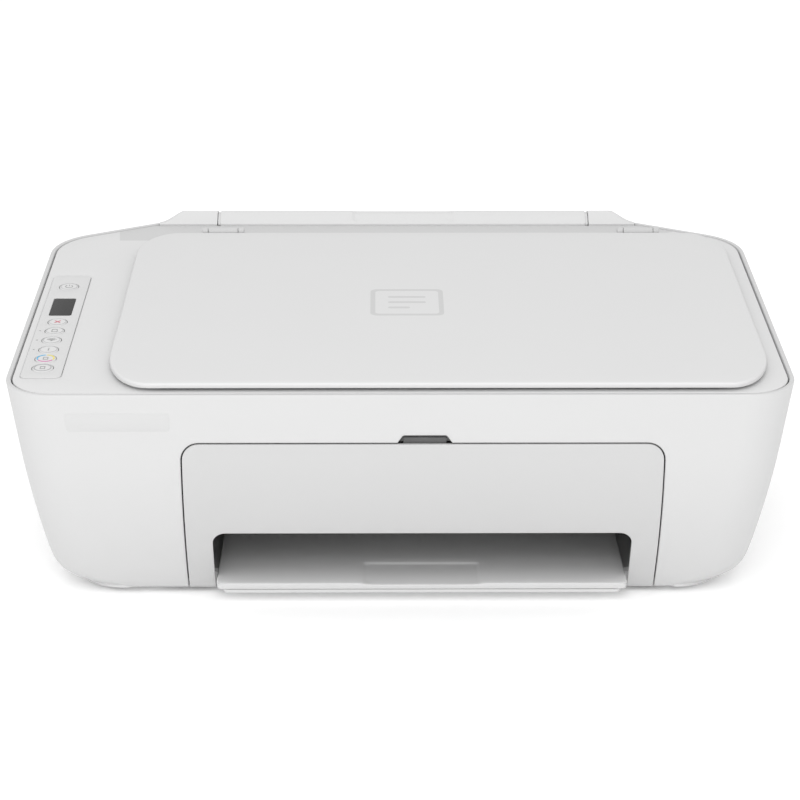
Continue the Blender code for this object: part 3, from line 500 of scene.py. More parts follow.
looks = {
    "shell": plastic("shellPlastic", 0.555, 0.48, 0.10, 3400.0, 0.22),
    "door": plastic("doorPlastic", 0.505, 0.50, 0.12, 3400.0, 0.22),
    # painted shade: the latch tab behind the door's notch is near black, standing in for the shade inside
    # the notch
    "tab": plastic("tabPaintedShade", 0.10, 0.50, 0.12, 3400.0, 0.22),
    "deck": plastic("deckPlastic", 0.63, 0.50, 0.12, 3400.0, 0.25),
    # painted shade: a darker copy of the deck plastic for the rear valley and the hinge ears, standing in
    # for the shade that falls there
    "valleyShade": plastic("valleyPaintedShade", 0.53, 0.40, 0.08, 3400.0, 0.25),
    "rear": plastic("rearPlastic", 0.63, 0.50, 0.10, 3400.0, 0.25),
    "lid": plastic("lidPlastic", 0.62, 0.52, 0.30, 2600.0, 0.22),
    "emblem": plastic("emblemInlay", 0.51, 0.34, 0.06, 4200.0, 0.15),
    # painted light: the tray plastic is set much lighter than the shell, standing in for light reaching
    # into the mouth under the overhang; the extender and paper guides share it
    "tray": plastic("trayPaintedLight", 0.76, 0.46, 0.12, 3000.0, 0.30),
    # painted shade: a darker copy of the tray plastic for the front-facing faces of the tray and extender
    # lips
    "lip": plastic("lipPaintedShade", 0.57, 0.46, 0.12, 3000.0, 0.30),
    "overlay": plastic("overlayFilm", 0.59, 0.36, 0.05, 5200.0, 0.18),
    "key": plastic("keyPlastic", 0.62, 0.34, 0.04, 5200.0, 0.25),
    "mark": plastic("keyPrint", 0.30, 0.45, 0.05, 5200.0, 0.15),
    "badge": plastic("badgePlastic", 0.54, 0.30, 0.03, 5200.0, 0.15),
    "black": plastic("blackPlastic", (0.022, 0.022, 0.024), 0.42, 0.25, 2600.0, 0.5, (0.10, 0.10, 0.105)),
    "grey": plastic("greyPlastic", 0.34, 0.5, 0.25, 2600.0, 0.4),
    "gear": plastic("acetalPlastic", (0.56, 0.545, 0.50), 0.34, 0.08, 3600.0, 0.35),
    "rubber": plastic("rollerRubber", 0.018, 0.78, 0.5, 1800.0, 0.6, (0.07, 0.07, 0.07), 0.3),
    "board": plastic("solderResist", (0.012, 0.085, 0.035), 0.28, 0.2, 1500.0, 0.4, (0.05, 0.16, 0.07)),
    "film": plastic("encoderFilm", (0.10, 0.105, 0.11), 0.15, 0.02, 4000.0, 0.2),
    "foam": plastic("padFoam", (0.66, 0.66, 0.65), 0.85, 0.6, 1500.0, 0.3, None, 0.2),
    "steel": brushedMetal("platedSteel", (0.56, 0.56, 0.57), 0.30),
    "glass": glassLook("platenGlass", (0.88, 0.95, 0.93)),
    "screen": plastic("screenWindow", 0.016, 0.22, 0.01, 5200.0, 0.1, (0.05, 0.05, 0.05), 0.12,
                      0.02),
}
print("stage: materials made,", len(looks))


# body surface
def outlineAt(level, inset=0.0, fine=14):  # half outline from front to rear, x > 0
    s = bodyShape
    curl = s["sideCurl"] * max(level, 0) ** s["curlPower"]
    side = halfWidth - s["sideFlare"] * max(level, 0) - curl
    under = max(level - s["frontUpright"], 0) / (1 - s["frontUpright"])
    front = frontY + s["frontCurl"] * under ** s["frontPower"]
    rear = rearY - s["rearDraft"] * max(level, 0) - s["rearCurlShare"] * curl
    beta = s["rearBend"]
    first = Vector((side - s["rearCorner"], rearY - s["rearRun"]))
    touch = Vector((math.cos(beta), math.sin(beta)))
    slope = Vector((-math.sin(beta), math.cos(beta)))
    reach = rear - s["rearBlend"] + s["rearBlend"] * touch.y - first.y - s["rearCorner"] * touch.y
    second = first + s["rearCorner"] * touch + slope * (reach / slope.y) - s["rearBlend"] * touch
    bend = math.degrees(beta)
    corner = s["frontCorner"]
    return [
        [(0.0, front + inset), (side - corner, front + inset)],
        arcPoints(side - corner, front + corner, corner - inset, -90, 0, fine),
        [(side - inset, front + corner), (side - inset, first.y)],
        arcPoints(first.x, first.y, s["rearCorner"] - inset, 0, bend, fine),
        [(first.x + (s["rearCorner"] - inset) * touch.x, first.y + (s["rearCorner"] - inset) * touch.y),
         (second.x + (s["rearBlend"] - inset) * touch.x, second.y + (s["rearBlend"] - inset) * touch.y)],
        arcPoints(second.x, second.y, s["rearBlend"] - inset, bend, 90, fine),
        [(second.x, rear - inset), (0.0, rear - inset)],
    ]


def pathLength(points):
    return sum((Vector(b) - Vector(a)).length for a, b in zip(points, points[1:]))


wrap = {"straight": 0.146, "height": 0.1229}
topParts = outlineAt(0)
topParts[0][0] = (wrap["straight"], frontY)
partLengths = [pathLength(part) for part in topParts]
wrapLength = wrap["straight"] + sum(partLengths)
levelCache = {}


def partsAt(level, inset):
    key = (round(level, 6), round(inset, 6))
    if key not in levelCache:
        parts = outlineAt(level, inset)
        parts[0][0] = (wrap["straight"], parts[0][0][1])
        levelCache[key] = parts
    return levelCache[key]


def alongParts(parts, s):  # s runs from 0 at the front centre to wrapLength at the rear centre
    if s <= wrap["straight"]:
        return s, parts[0][0][1]
    left = s - wrap["straight"]
    for part, length in zip(parts, partLengths):
        if left <= length or part is parts[-1]:
            t = min(left / length, 1.0) * (len(part) - 1)
            i = min(int(t), len(part) - 2)
            a, b = Vector(part[i]), Vector(part[i + 1])
            return tuple(a.lerp(b, t - i))
        left -= length


def onBody(s, h, depth=0.0):  # place on the wrapped shell: h is 0 at the base and wrap height at the rim
    level = 1 - h / wrap["height"]
    x, y = alongParts(partsAt(max(level, 0), 0.0), abs(s))
    top = rimHeight(y)
    z = top - level * (top - bodyShape["base"])
    if depth:
        x, y = alongParts(partsAt(max(level, 0), depth), abs(s))
    return Vector((math.copysign(x, s), y, z))


def frontH(z):  # h of a height on the straight front
    low, high = 0.0, wrap["height"] * 1.02
    for _ in range(40):
        middle = (low + high) / 2
        if onBody(0, middle).z < z:
            low = middle
        else:
            high = middle
    return low


doorSet = {
    "left": -0.117, "right": 0.1408, "top": 0.098, "corner": 0.009, "seam": 0.0007, "margin": 0.0145,
    "mouthTop": 0.043, "mouthCorner": 0.007, "notch": (-0.0012, 0.0268, 0.0042), "edge": 0.0005,
    "foot": 0.0365, "pivot": (0.041, 0.0095), "ribs": (-0.085, -0.045, -0.005, 0.035, 0.075, 0.105),
    "tabShadeLow": 0.0902, "tabThick": 0.0010, "tabClear": 0.0004, "tabInset": 0.0024,
}


def archLine(left, right, top, corner, steps=8):  # up, over and down, from the left foot
    high = frontH(top)
    return ([(left, 0.0)] + arcPoints(left + corner, high - corner, corner, 180, 90, steps)
            + arcPoints(right - corner, high - corner, corner, 90, 0, steps) + [(right, 0.0)])


def buildShell():
    d = doorSet
    seam = d["seam"]
    arch = archLine(d["left"] - seam, d["right"] + seam, d["top"] + seam, d["corner"] + seam)
    high = frontH(d["top"] + seam)
    n0, n1, tall = d["notch"]
    notch = ([(n0 - 0.0006, high)] + arcPoints(n0 + 0.0032, high + tall - 0.0016, 0.0016, 150, 90, 4)
             + arcPoints(n1 - 0.0032, high + tall - 0.0016, 0.0016, 90, 30, 4) + [(n1 + 0.0006, high)])
    middle = len(arch) // 2
    edgeLine = arch[:middle] + notch + arch[middle:]
    half = wrapLength
    loop = [(-half, 0.0)] + edgeLine + [(half, 0.0), (half, wrap["height"]), (-half, wrap["height"])]
    loop = denser(loop, 0.0034)
    work = bmesh.new()
    addPanel(work, [loop], onBody, bodyShape["wall"], 0.0009, 0.0036, 4, 0.0005,
             weld=lambda p: abs(abs(p[0]) - half) < 1e-6)
    # floor, with room for the door's feet
    rightSide = [p for part in outlineAt(0.985, 0.0004) for p in part][2:]
    leftSide = [(-x, y) for x, y in reversed(rightSide)]
    legBack = back(d["pivot"][0]) + 0.0105
    foot = back(d["foot"]) + 0.0008
    cuts = [(d["left"] - seam, foot), (d["left"] - seam, legBack), (d["left"] + d["margin"], legBack),
            (d["left"] + d["margin"], foot), (d["right"] - d["margin"], foot),
            (d["right"] - d["margin"], legBack), (d["right"] + seam, legBack), (d["right"] + seam, foot)]
    outline = cuts + rightSide + leftSide
    clean = [p for i, p in enumerate(outline) if (Vector(p) - Vector(outline[i - 1])).length > 1e-5]

    floorThick = 0.0025
    addPanel(work, [denser(clean, 0.01)], flatAt(bodyShape["base"] + floorThick), floorThick, 0.0003, 0, 2)
    piece = makeObject("outerShell", work, looks["shell"])
    lows, highs = [], []
    for node in ("mains_inlet", "usb_port"):
        low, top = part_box(node)
        lows.append((low[0] - 0.0003, low[1] - 0.004, low[2] - 0.0003))
        highs.append((top[0] + 0.0003, rearY + 0.01, top[2] + 0.0003))
    seat = coverHigh[0] + 0.0003
    lows.append((-seat, back(0.2722), 0.1377))
    highs.append((seat, rearY + 0.01, 0.17))
    cutAway(piece, lows, highs)
    piece.data.shade_smooth()
    piece.data.set_sharp_from_angle(angle=math.radians(35))
    return settle(piece, "body", "shell_white", "base_tub")


def buildDoor():
    d = doorSet
    outer = archLine(d["left"], d["right"], d["top"], d["corner"])
    inner = archLine(d["left"] + d["margin"], d["right"] - d["margin"], d["mouthTop"], d["mouthCorner"])
    loop = denser([*inner, *reversed(outer)], 0.003)
    work = bmesh.new()
    addPanel(work, [loop], onBody, bodyShape["wall"] * 0.95, d["edge"], 0.0034, 4, 0.0004)
    pivot = Vector((0, back(d["pivot"][0]), d["pivot"][1]))
    for side, x in ((-1, d["left"]), (1, d["right"])):
        near = x - side * 0.0063
        loopLug = arcPoints(pivot.y, pivot.z, 0.0042, -120, 120, 14)
        loopLug += [(back(0.0276), pivot.z + 0.0038), (back(0.0280), pivot.z - 0.0022)]
        hole = openLoop(circleLoop(pivot.y, pivot.z, 0.0018, 16))
        addPanel(work, [loopLug, hole], sideAt(near), 0.0036, 0.0004, 0, 2, 0.0004)
    for x in d["ribs"]:  # stiffening ribs on the inner face
        section = [(onBody(0, frontH(z), 0.0024).y, z) for z in (0.050, 0.062, 0.074, 0.086, 0.094)]
        rib = section + [(back(0.0052), 0.094), (section[0][0] + 0.0030, 0.050)]
        addPanel(work, [ccw(rib)], sideAt(x), 0.0012, 0.0003, 0, 2, 0.0003)
    n0, n1, tall = d["notch"]
    tabLeft, tabRight = n0 + d["tabInset"], n1 - d["tabInset"]
    tab = [(tabLeft, d["top"] - 0.008), (tabRight, d["top"] - 0.008),
           (tabRight, d["top"] + tall - 0.0012), (tabLeft, d["top"] + tall - 0.0012)]
    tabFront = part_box("scanner_housing")[0][1] - d["tabThick"] - d["tabClear"]
    addPanel(work, [tab], lambda a, b, t: Vector((a, tabFront + t, b)), d["tabThick"], 0.0003, 0, 2, 0.0003)
    piece = makeObject("accessDoor", work, [looks["door"], looks["tab"]])
    # painted shade: the tab's faces above the door top and behind the notch get the near-black finish
    refinish(piece, lambda f: f.center.z > d["top"] + 0.0002
             or (f.center.y > tabFront - 0.0002 and n0 < f.center.x < n1 and f.center.z > d["tabShadeLow"]))
    return settle(piece, "door", "shell_white", "front_door")


def ccw(loop):
    area = sum(a[0] * b[1] - b[0] * a[1] for a, b in zip(loop, loop[1:] + loop[:1]))
    return loop if area > 0 else list(reversed(loop))


buildShell()
buildDoor()
print("stage: shell and door made")


badgeSet = {"left": -0.1805, "right": -0.1230, "low": 0.1055, "high": 0.1156, "proud": 0.00006}


def buildBadge():  # blank name plate, a hair proud of the shell
    s = badgeSet
    loop = denser(roundedLoop(s["left"], frontH(s["low"]), s["right"], frontH(s["high"]), 0.0016), 0.002)
    piece = panelPiece("blankBadge", [loop], lambda a, b, t: onBody(a, b, t - s["proud"]),
                       s["proud"] + 0.0004, 0.00005, 0.006, looks["badge"], steps=2)
    settle(piece, "body", "shell_white")


buildBadge()


# scanner deck
deckSet = {
    "drop": 0.0003, "plate": 0.0024, "seam": 0.001, "valleyEnd": 0.2712,
    "valleyShadeLead": 0.004, "valleyShadeHalf": 0.170,
    "window": (-0.130, 0.010, 0.172, 0.229), "overlay": (-0.205, 0.024, -0.183, 0.181),
    "edge": 0.0006,
}
lidSet = {
    "left": -0.1585, "front": 0.0053, "right": 0.200, "back": 0.2455,
    "corner": 0.024, "frontDeep": 0.044, "backDeep": 0.036,
    "low": 0.0015, "plate": 0.0034, "edge": 0.0015, "axis": (0.2525, 0.0026), "barrel": 0.0026,
}


emblemSet = {"centre": (0.0045, 0.1240), "size": (0.042, 0.042), "bar": 0.0028}


def deckOutline(inset, cutAt):
    half = [p for part in outlineAt(0, inset) for p in part][1:]
    along = [(x, (y - frontY) / math.cos(tilt)) for x, y in half]
    kept = [p for p in along if p[1] < cutAt]
    first = along[len(kept)]
    t = (cutAt - kept[-1][1]) / (first[1] - kept[-1][1])
    kept.append((kept[-1][0] + t * (first[0] - kept[-1][0]), cutAt))
    loop = kept + [(-x, y) for x, y in reversed(kept)]
    return [p for i, p in enumerate(loop) if (Vector(p) - Vector(loop[i - 1])).length > 1e-5]


def deckPlace(top):
    return lambda x, y, depth: deckFrame @ Vector((x, y, top - depth))


def buildDeck():
    d = deckSet
    outer = denser(deckOutline(bodyShape["wall"] + d["seam"], d["valleyEnd"] / math.cos(tilt)), 0.004)
    window = openLoop(roundedLoop(*d["window"], 0.003))
    x0, y0, x1, y1 = d["overlay"]
    grow = 0.0001
    tray = openLoop(roundedLoop(x0 - grow, y0 - grow, x1 + grow, y1 + grow, 0.0035))
    work = bmesh.new()
    addPanel(work, [outer, denser(window, 0.01), denser(tray, 0.006)], deckPlace(-d["drop"]), d["plate"],
             d["edge"], 0.012, 4, 0.0004)
    floorLoop = roundedLoop(x0 - 0.0012, y0 - 0.0012, x1 + 0.0012, y1 + 0.0012, 0.004)
    holes = [openLoop(circleLoop(keySet["column"], along, radius + 0.0004))
             for _, along, radius, _ in keySet["keys"]]
    addPanel(work, [denser(floorLoop, 0.01)] + holes, deckPlace(-0.0016), 0.0012, 0.0002, 0, 2)
    a, up = lidSet["axis"]
    for node in ("lid_hinge_left", "lid_hinge_right"):  # bearing ears and their pins
        low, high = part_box(node)
        for side, edgeX in ((-1, low[0]), (1, high[0])):
            near = edgeX + side * 0.0004
            start = near if side > 0 else near - 0.0036
            ear = [(a - 0.0030, -0.0008), (a + 0.0030, -0.0008)]
            ear += arcPoints(a, up, lidSet["barrel"], 0, 180, 14)
            addPanel(work, [ear], lambda p, q, t, n=start: deckFrame @ Vector((n + t, p, q)), 0.0036,
                     0.0005, 0, 3, 0.0005)
        pin = circleLoop(a, up, 0.0011, 16)
        addPanel(work, [pin], lambda p, q, t, n=low[0] - 0.002: deckFrame @ Vector((n + t, p, q)),
                 high[0] - low[0] + 0.004, 0.0002, 0, 2)
    piece = makeObject("deckBezel", work, [looks["deck"], looks["valleyShade"]])
    toDeck = deckFrame.inverted()
    # painted shade: the rear valley's faces get the darker copy of the deck plastic
    refinish(piece, lambda f: (toDeck @ f.center).y > lidSet["back"] - d["valleyShadeLead"]
             and abs(f.center.x) < d["valleyShadeHalf"])
    return settle(piece, "body", "shell_white", "scanner_bezel")


def buildLid():
    s = lidSet
    high = s["low"] + s["plate"]
    loop = []
    for x, y, deep, start in ((s["right"], s["front"], s["frontDeep"], -90),
                              (s["right"], s["back"], -s["backDeep"], 0),
                              (s["left"], s["back"], -s["backDeep"], 90),
                              (s["left"], s["front"], s["frontDeep"], 180)):
        wide = s["corner"] if x == s["left"] else -s["corner"]
        loop += [(x + wide + px * s["corner"], y + deep + py * abs(deep))
                 for px, py in arcPoints(0, 0, 1, start, start + 90, 22)]
    loop = denser(loop, 0.005)

    def crown(x, y, depth):  # the top is very slightly domed
        fx = (x - s["left"]) / (s["right"] - s["left"])
        fy = (y - s["front"]) / (s["back"] - s["front"])
        dip = 0.0002 * ((2 * fx - 1) ** 4 + (2 * fy - 1) ** 4)
        fade = 1 - depth / s["plate"]
        return deckFrame @ Vector((x, y, high - depth - dip * fade))

    work = bmesh.new()
    addPanel(work, [loop], crown, s["plate"], s["edge"], 0.007, 6, 0.0006)
    piece = makeObject("lidShell", work, looks["lid"], 40)
    settle(piece, "lid", "lid_white", "scanner_lid")
    cx, cy, w, h = emblemSet["centre"] + emblemSet["size"]
    bar = emblemSet["bar"]
    sheet = roundedLoop(cx - w / 2, cy - h / 2, cx + w / 2, cy + h / 2, 0.004)
    inW, inH = w / 2 - bar, h / 2 - bar
    opening = openLoop(roundedLoop(cx - inW, cy - inH, cx + inW, cy + inH, 0.0025))
    work = bmesh.new()
    top = high + 0.00003
    addPanel(work, [sheet, opening], deckPlace(top), 0.00035, 0.00002, 0, 1)
    for i in range(3):
        y = cy + (i - 1) * h * 0.2
        half = w * (0.26 if i else 0.15)
        line = roundedLoop(cx - w * 0.26, y - bar / 2, cx - w * 0.26 + 2 * half, y + bar / 2, bar * 0.45, 4)
        addPanel(work, [line], deckPlace(top), 0.00035, 0.00002, 0, 1)
    settle(makeObject("lidEmblem", work, looks["emblem"]), "lid", "lid_white")
    return piece


def buildPad():  # film-faced foam: soft rounded rim, slight pillowing over the glued face
    w = deckSet["window"]
    m = 0.004
    x0, y0, x1, y1 = w[0] + m, w[1] + m, w[2] - m, w[3] - m
    bottom = -deckSet["drop"] - deckSet["plate"] + 0.0003
    top = lidSet["low"] - 0.0003
    loop = denser(roundedLoop(x0, y0, x1, y1, 0.006, 8), 0.006)

    def soft(x, y, depth):
        fade = depth / (top - bottom)
        wave = 0.00012 * math.sin(x * 61) * math.sin(y * 73)
        edgeX = min(x - x0, x1 - x)
        edgeY = min(y - y0, y1 - y)
        rise = 0.0003 * (1 - smoothStep(min(edgeX, edgeY), 0.0, 0.03))
        return deckFrame @ Vector((x, y, top - depth + fade * (rise + abs(wave))))

    piece = panelPiece("padFoamSheet", [loop], soft, top - bottom, 0.0005, 0.006, looks["foam"],
                       underEdge=0.0014)
    settle(piece, "lid", "foam", "lid_pad")
    return piece


# control strip
keySet = {
    "column": -0.1942, "top": 0.0007, "flange": 0.0005, "low": -0.0052,
    "keys": [
        ("power_key", 0.1620, 0.0056, "power"), ("cancel_key", 0.1054, 0.0054, "cross"),
        ("resume_key", 0.0918, 0.0054, "sheet"), ("wireless_key", 0.0778, 0.0054, "waves"),
        ("info_key", 0.0638, 0.0054, "dotBar"), ("color_copy_key", 0.0507, 0.0058, "rings"),
        ("black_copy_key", 0.0375, 0.0058, "ring"),
    ],
}


def buildOverlay():
    x0, y0, x1, y1 = deckSet["overlay"]
    outer = denser(roundedLoop(x0, y0, x1, y1, 0.0032), 0.006)
    holes = [openLoop(circleLoop(keySet["column"], along, radius + 0.0003, 40))
             for _, along, radius, _ in keySet["keys"]]
    low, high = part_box("display_window")
    cx = (low[0] + high[0]) / 2
    hx = (high[0] - low[0]) / 2 + 0.0002
    holes.append(openLoop(roundedLoop(cx - hx, 0.1155 - 0.0002, cx + hx, 0.1432 + 0.0002, 0.0015)))
    piece = panelPiece("keyOverlay", [outer] + holes, deckPlace(0.0002), 0.0012, 0.0003, 0.02,
                       looks["overlay"], steps=3)
    settle(piece, "body", "panel_film", "control_panel")
    screen = roundedLoop(cx - hx + 0.0002, 0.1155, cx + hx - 0.0002, 0.1432, 0.0013)
    glass = panelPiece("screenGlass", [screen], deckPlace(-0.0001), 0.0008, 0.0002, 0,
                       looks["screen"], steps=3)
    settle(glass, "body", "display", "display_window")


def markLoops(kind):  # outlines of each key's sign, in the key's own plane, material on the left
    def bar(x0, y0, x1, y1, width):
        a, b = Vector((x0, y0)), Vector((x1, y1))
        d = (b - a).normalized()
        n = Vector((-d.y, d.x)) * width / 2
        return [tuple(a - n), tuple(b - n), tuple(b + n), tuple(a + n)]

    def bow(radius, width, start, end, cy=0.0):
        outer = arcPoints(0, cy, radius + width / 2, start, end, 18)
        inner = arcPoints(0, cy, radius - width / 2, end, start, 18)
        return outer + inner

    thin = 0.00038
    if kind == "power":
        return [bow(0.0021, thin, -235, 55), bar(0, 0.0008, 0, 0.0027, thin)]
    if kind == "cross":
        far, near, wide = 0.0016, 0.00012, 0.0005
        return [bar(-far, -far, -near, -near, wide), bar(near, near, far, far, wide),
                bar(-far, far, -near, near, wide), bar(near, -near, far, -far, wide)]
    if kind == "sheet":
        return [bar(-0.0015, -0.0020, -0.0015, 0.0020, thin), bar(0.0015, -0.0020, 0.0015, 0.0009, thin),
                bar(-0.0013, -0.0018, 0.0013, -0.0018, thin), bar(-0.0013, 0.0018, 0.0005, 0.0018, thin),
                bar(0.0006, 0.0018, 0.0015, 0.0010, thin)]
    if kind == "waves":
        return [bow(0.0010, thin, 35, 145, -0.0014), bow(0.0021, thin, 35, 145, -0.0014),
                bow(0.0032, thin, 35, 145, -0.0014), circleLoop(0, -0.0014, 0.0003, 12)]
    if kind == "dotBar":
        return [bar(0, -0.0018, 0, 0.0006, 0.0005), circleLoop(0, 0.0016, 0.00034, 12)]
    return [bar(-0.0012, -0.0017, -0.0012, 0.0017, thin), bar(0.0012, -0.0017, 0.0012, 0.0017, thin),
            bar(-0.0010, -0.0015, 0.0010, -0.0015, thin), bar(-0.0010, 0.0015, 0.0010, 0.0015, thin)]


def addMark(name, kind, centre, body, look, height):
    work = bmesh.new()
    frameHere = deckFrame @ Matrix.Translation((centre[0], centre[1], height))
    for loop in markLoops(kind):
        addPanel(work, [ccw(loop)], lambda x, y, t: frameHere @ Vector((x, y, -t)), 0.00008, 0.00002, 0, 1)
    settle(makeObject(name, work, look), body, "key_plastic")


def ringPiece(name, centre, radius, width, start, end, look, body, height):
    work = bmesh.new()
    outer = arcPoints(*centre, radius + width / 2, start, end, max(6, int((end - start) / 7)))
    inner = arcPoints(*centre, radius - width / 2, end, start, max(6, int((end - start) / 7)))
    addPanel(work, [outer + inner], deckPlace(height), 0.00008, 0.00002, 0, 1)
    return settle(makeObject(name, work, look), body, "key_plastic")


def buildKeys():
    s = keySet
    red = plastic("keyPrintRed", (0.62, 0.10, 0.16), 0.45, 0.05, 5200.0, 0.15)
    inks = [("Cyan", (0.05, 0.42, 0.70)), ("Magenta", (0.62, 0.10, 0.36)), ("Yellow", (0.80, 0.66, 0.08))]
    inkLooks = [(n, plastic("keyPrint" + n, c, 0.45, 0.05, 5200.0, 0.1)) for n, c in inks]
    ringGrey = plastic("keyPrintGrey", (0.40, 0.405, 0.41), 0.45, 0.05, 5200.0, 0.15)
    for node, along, radius, sign in s["keys"]:
        r = radius - 0.0001
        profile = [(r + s["flange"], s["low"]), (r + s["flange"], -0.0034), (r, -0.0034), (r, -0.0001)]
        profile += [(r - 0.0003, 0.0002), (r - 0.0008, 0.00038)]
        for i in range(1, 6):  # shallow finger dish
            t = 1 - i / 5
            profile.append(((r - 0.0012) * t, 0.00030 + 0.00008 * t * t))
        matrix = deckFrame @ Matrix.Translation((s["column"], along, 0))
        cap = turnedPiece(node + "Cap", profile, matrix, looks["key"], 48)
        settle(cap, node, "key_plastic", node)
        look = red if sign == "cross" else looks["mark"]
        middle = (s["column"], along)
        addMark(node + "Sign", sign, middle, node, look, 0.00046)
        if sign == "rings":
            for i, (name, ink) in enumerate(inkLooks):
                start = 90 + 120 * i
                ringPiece("copyRing" + name, middle, r - 0.0011, 0.0007, start + 4, start + 116, ink,
                          node, 0.00050)
        if sign == "ring":
            ringPiece("copyRingGrey", middle, r - 0.0011, 0.0007, 0, 359, ringGrey, node, 0.00050)
        elif sign != "rings":
            ringPiece(node + "Rim", middle, r - 0.0007, 0.00022, 0, 359, ringGrey, node, 0.00046)
    for name, along in (("resume", 0.0918), ("wireless", 0.0778), ("info", 0.0638)):  # pilot lamps
        work = bmesh.new()
        addPanel(work, [circleLoop(s["column"] - 0.0082, along, 0.00055, 20)], deckPlace(0.00032), 0.0004,
                 0.00015, 0, 2)
        settle(makeObject(name + "Lamp", work, looks["mark"]), "body", "panel_film")


buildDeck()
buildLid()
buildPad()
buildOverlay()
buildKeys()
print("stage: deck, lid and keys made")


# trays and rear
traySet = {"plate": 0.0025, "lipFace": 0.0038, "scoop": 0.065, "scoopDepth": 0.0008,
           "noseBack": 0.0006, "nosePlate": 0.0019}


def buildTray():
    s = traySet
    low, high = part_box("output_tray")
    x0, x1 = low[0], high[0]
    y0, y1 = low[1], high[1]
    top = high[2]
    centre = (x0 + x1) / 2
    half = s["scoop"] / 2
    rearEdge = y0 + 0.030

    def scoopDip(x, y):
        side = smoothStep(abs(x - centre), half - 0.0022, half + 0.0006)
        behind = smoothStep(y, rearEdge - 0.0022, rearEdge + 0.0006)
        return s["scoopDepth"] * (1 - side) * (1 - behind)

    def place(x, y, depth):
        fade = 1 - depth / s["plate"]
        return Vector((x, y, top - depth - scoopDip(x, y) * fade))

    creases = []
    for inset in (-0.0006, 0.0, 0.0008, 0.0016, 0.0022):
        line = [(centre - half + inset, y0 + 0.0022), (centre - half + inset, rearEdge - inset),
                (centre + half - inset, rearEdge - inset), (centre + half - inset, y0 + 0.0022)]
        creases.append(denser(line, 0.003, False))
    work = bmesh.new()
    loop = denser(roundedLoop(x0, y0, x1, y1, 0.0045), 0.003)
    addPanel(work, [loop], place, s["plate"], 0.0007, 0.005, 4, 0.0005, creases)
    lipLoop = denser(roundedLoop(x0 + 0.0002, y0 + 0.0001, x1 - 0.0002, y0 + 0.006, 0.0028), 0.01)
    lipTop = 0.0009  # below the tray's top
    addPanel(work, [lipLoop], flatAt(top - lipTop), s["lipFace"] - lipTop, 0.0002, 0, 2, 0.0009)
    for x in (x0, x1 - 0.003):
        rail = roundedLoop(x, y0 + 0.012, x + 0.003, y1 - 0.004, 0.0008, 4)
        addPanel(work, [rail], flatAt(top - 0.001), top - 0.001 - low[2], 0.0002, 0, 2, 0.0003)
    piece = makeObject("outputTray", work, [looks["tray"], looks["lip"]], 30)
    # painted shade: the front-facing lip faces get the darker copy of the tray plastic
    refinish(piece, lambda f: f.normal.y < -0.25 and f.center.y < y0 + 0.008)
    settle(piece, "tray", "tray_white", "output_tray")
    low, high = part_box("tray_extender")
    work = bmesh.new()
    nose = y0 + s["noseBack"]
    loop = denser(roundedLoop(low[0], nose, high[0], high[1], 0.0035), 0.01)
    addPanel(work, [loop], flatAt(high[2]), s["nosePlate"], 0.0004, 0, 3, 0.0004)
    lip = roundedLoop(low[0] + 0.002, low[1] + 0.0004, high[0] - 0.002, low[1] + 0.0035, 0.0012)
    lip = denser(lip, 0.01)
    addPanel(work, [lip], flatAt(high[2] - 0.0004), high[2] - 0.0004 - low[2], 0.0002, 0, 2, 0.0006)
    extender = makeObject("trayExtender", work, [looks["tray"], looks["lip"]], 30)
    # painted shade: the extender lip's front-facing faces get the darker copy of the tray plastic
    refinish(extender, lambda f: f.normal.y < -0.25 and f.center.y < nose + 0.002)
    settle(extender, "extender", "tray_white", "tray_extender")


feederSet = {
    "run": 0.0315, "ramp": 0.0090, "drop": 0.0064, "fall": 0.0066,
    "lean": math.radians(27), "thick": 0.0030, "ribs": (-0.07, -0.035, 0.0, 0.035, 0.07),
    "recess": 0.0635, "recessDepth": 0.0011, "gap": 0.0019, "ledge": 0.0009,
}


def stripTop(y):  # height of the raised strip: ramp up to a soft crest, then falling to the rear
    s = feederSet
    crest = rearY - s["run"] + s["ramp"]
    if y < crest:
        height = topZ - s["drop"] * (crest - y) / s["ramp"]
    else:
        height = topZ - s["fall"] * (y - crest) / (rearY - crest)
    return height - 0.0005 * math.exp(-((y - crest) / 0.0013) ** 2)


def planLimit(x, inset=0.0003):  # the body's rear edge at this x
    points = [p for part in outlineAt(0, inset)[3:] for p in part]
    for a, b in zip(points, points[1:]):
        if b[0] <= abs(x) <= a[0] and a[0] - b[0] > 1e-9:
            return a[1] + (b[1] - a[1]) * (a[0] - abs(x)) / (a[0] - b[0])
    return points[-1][1]


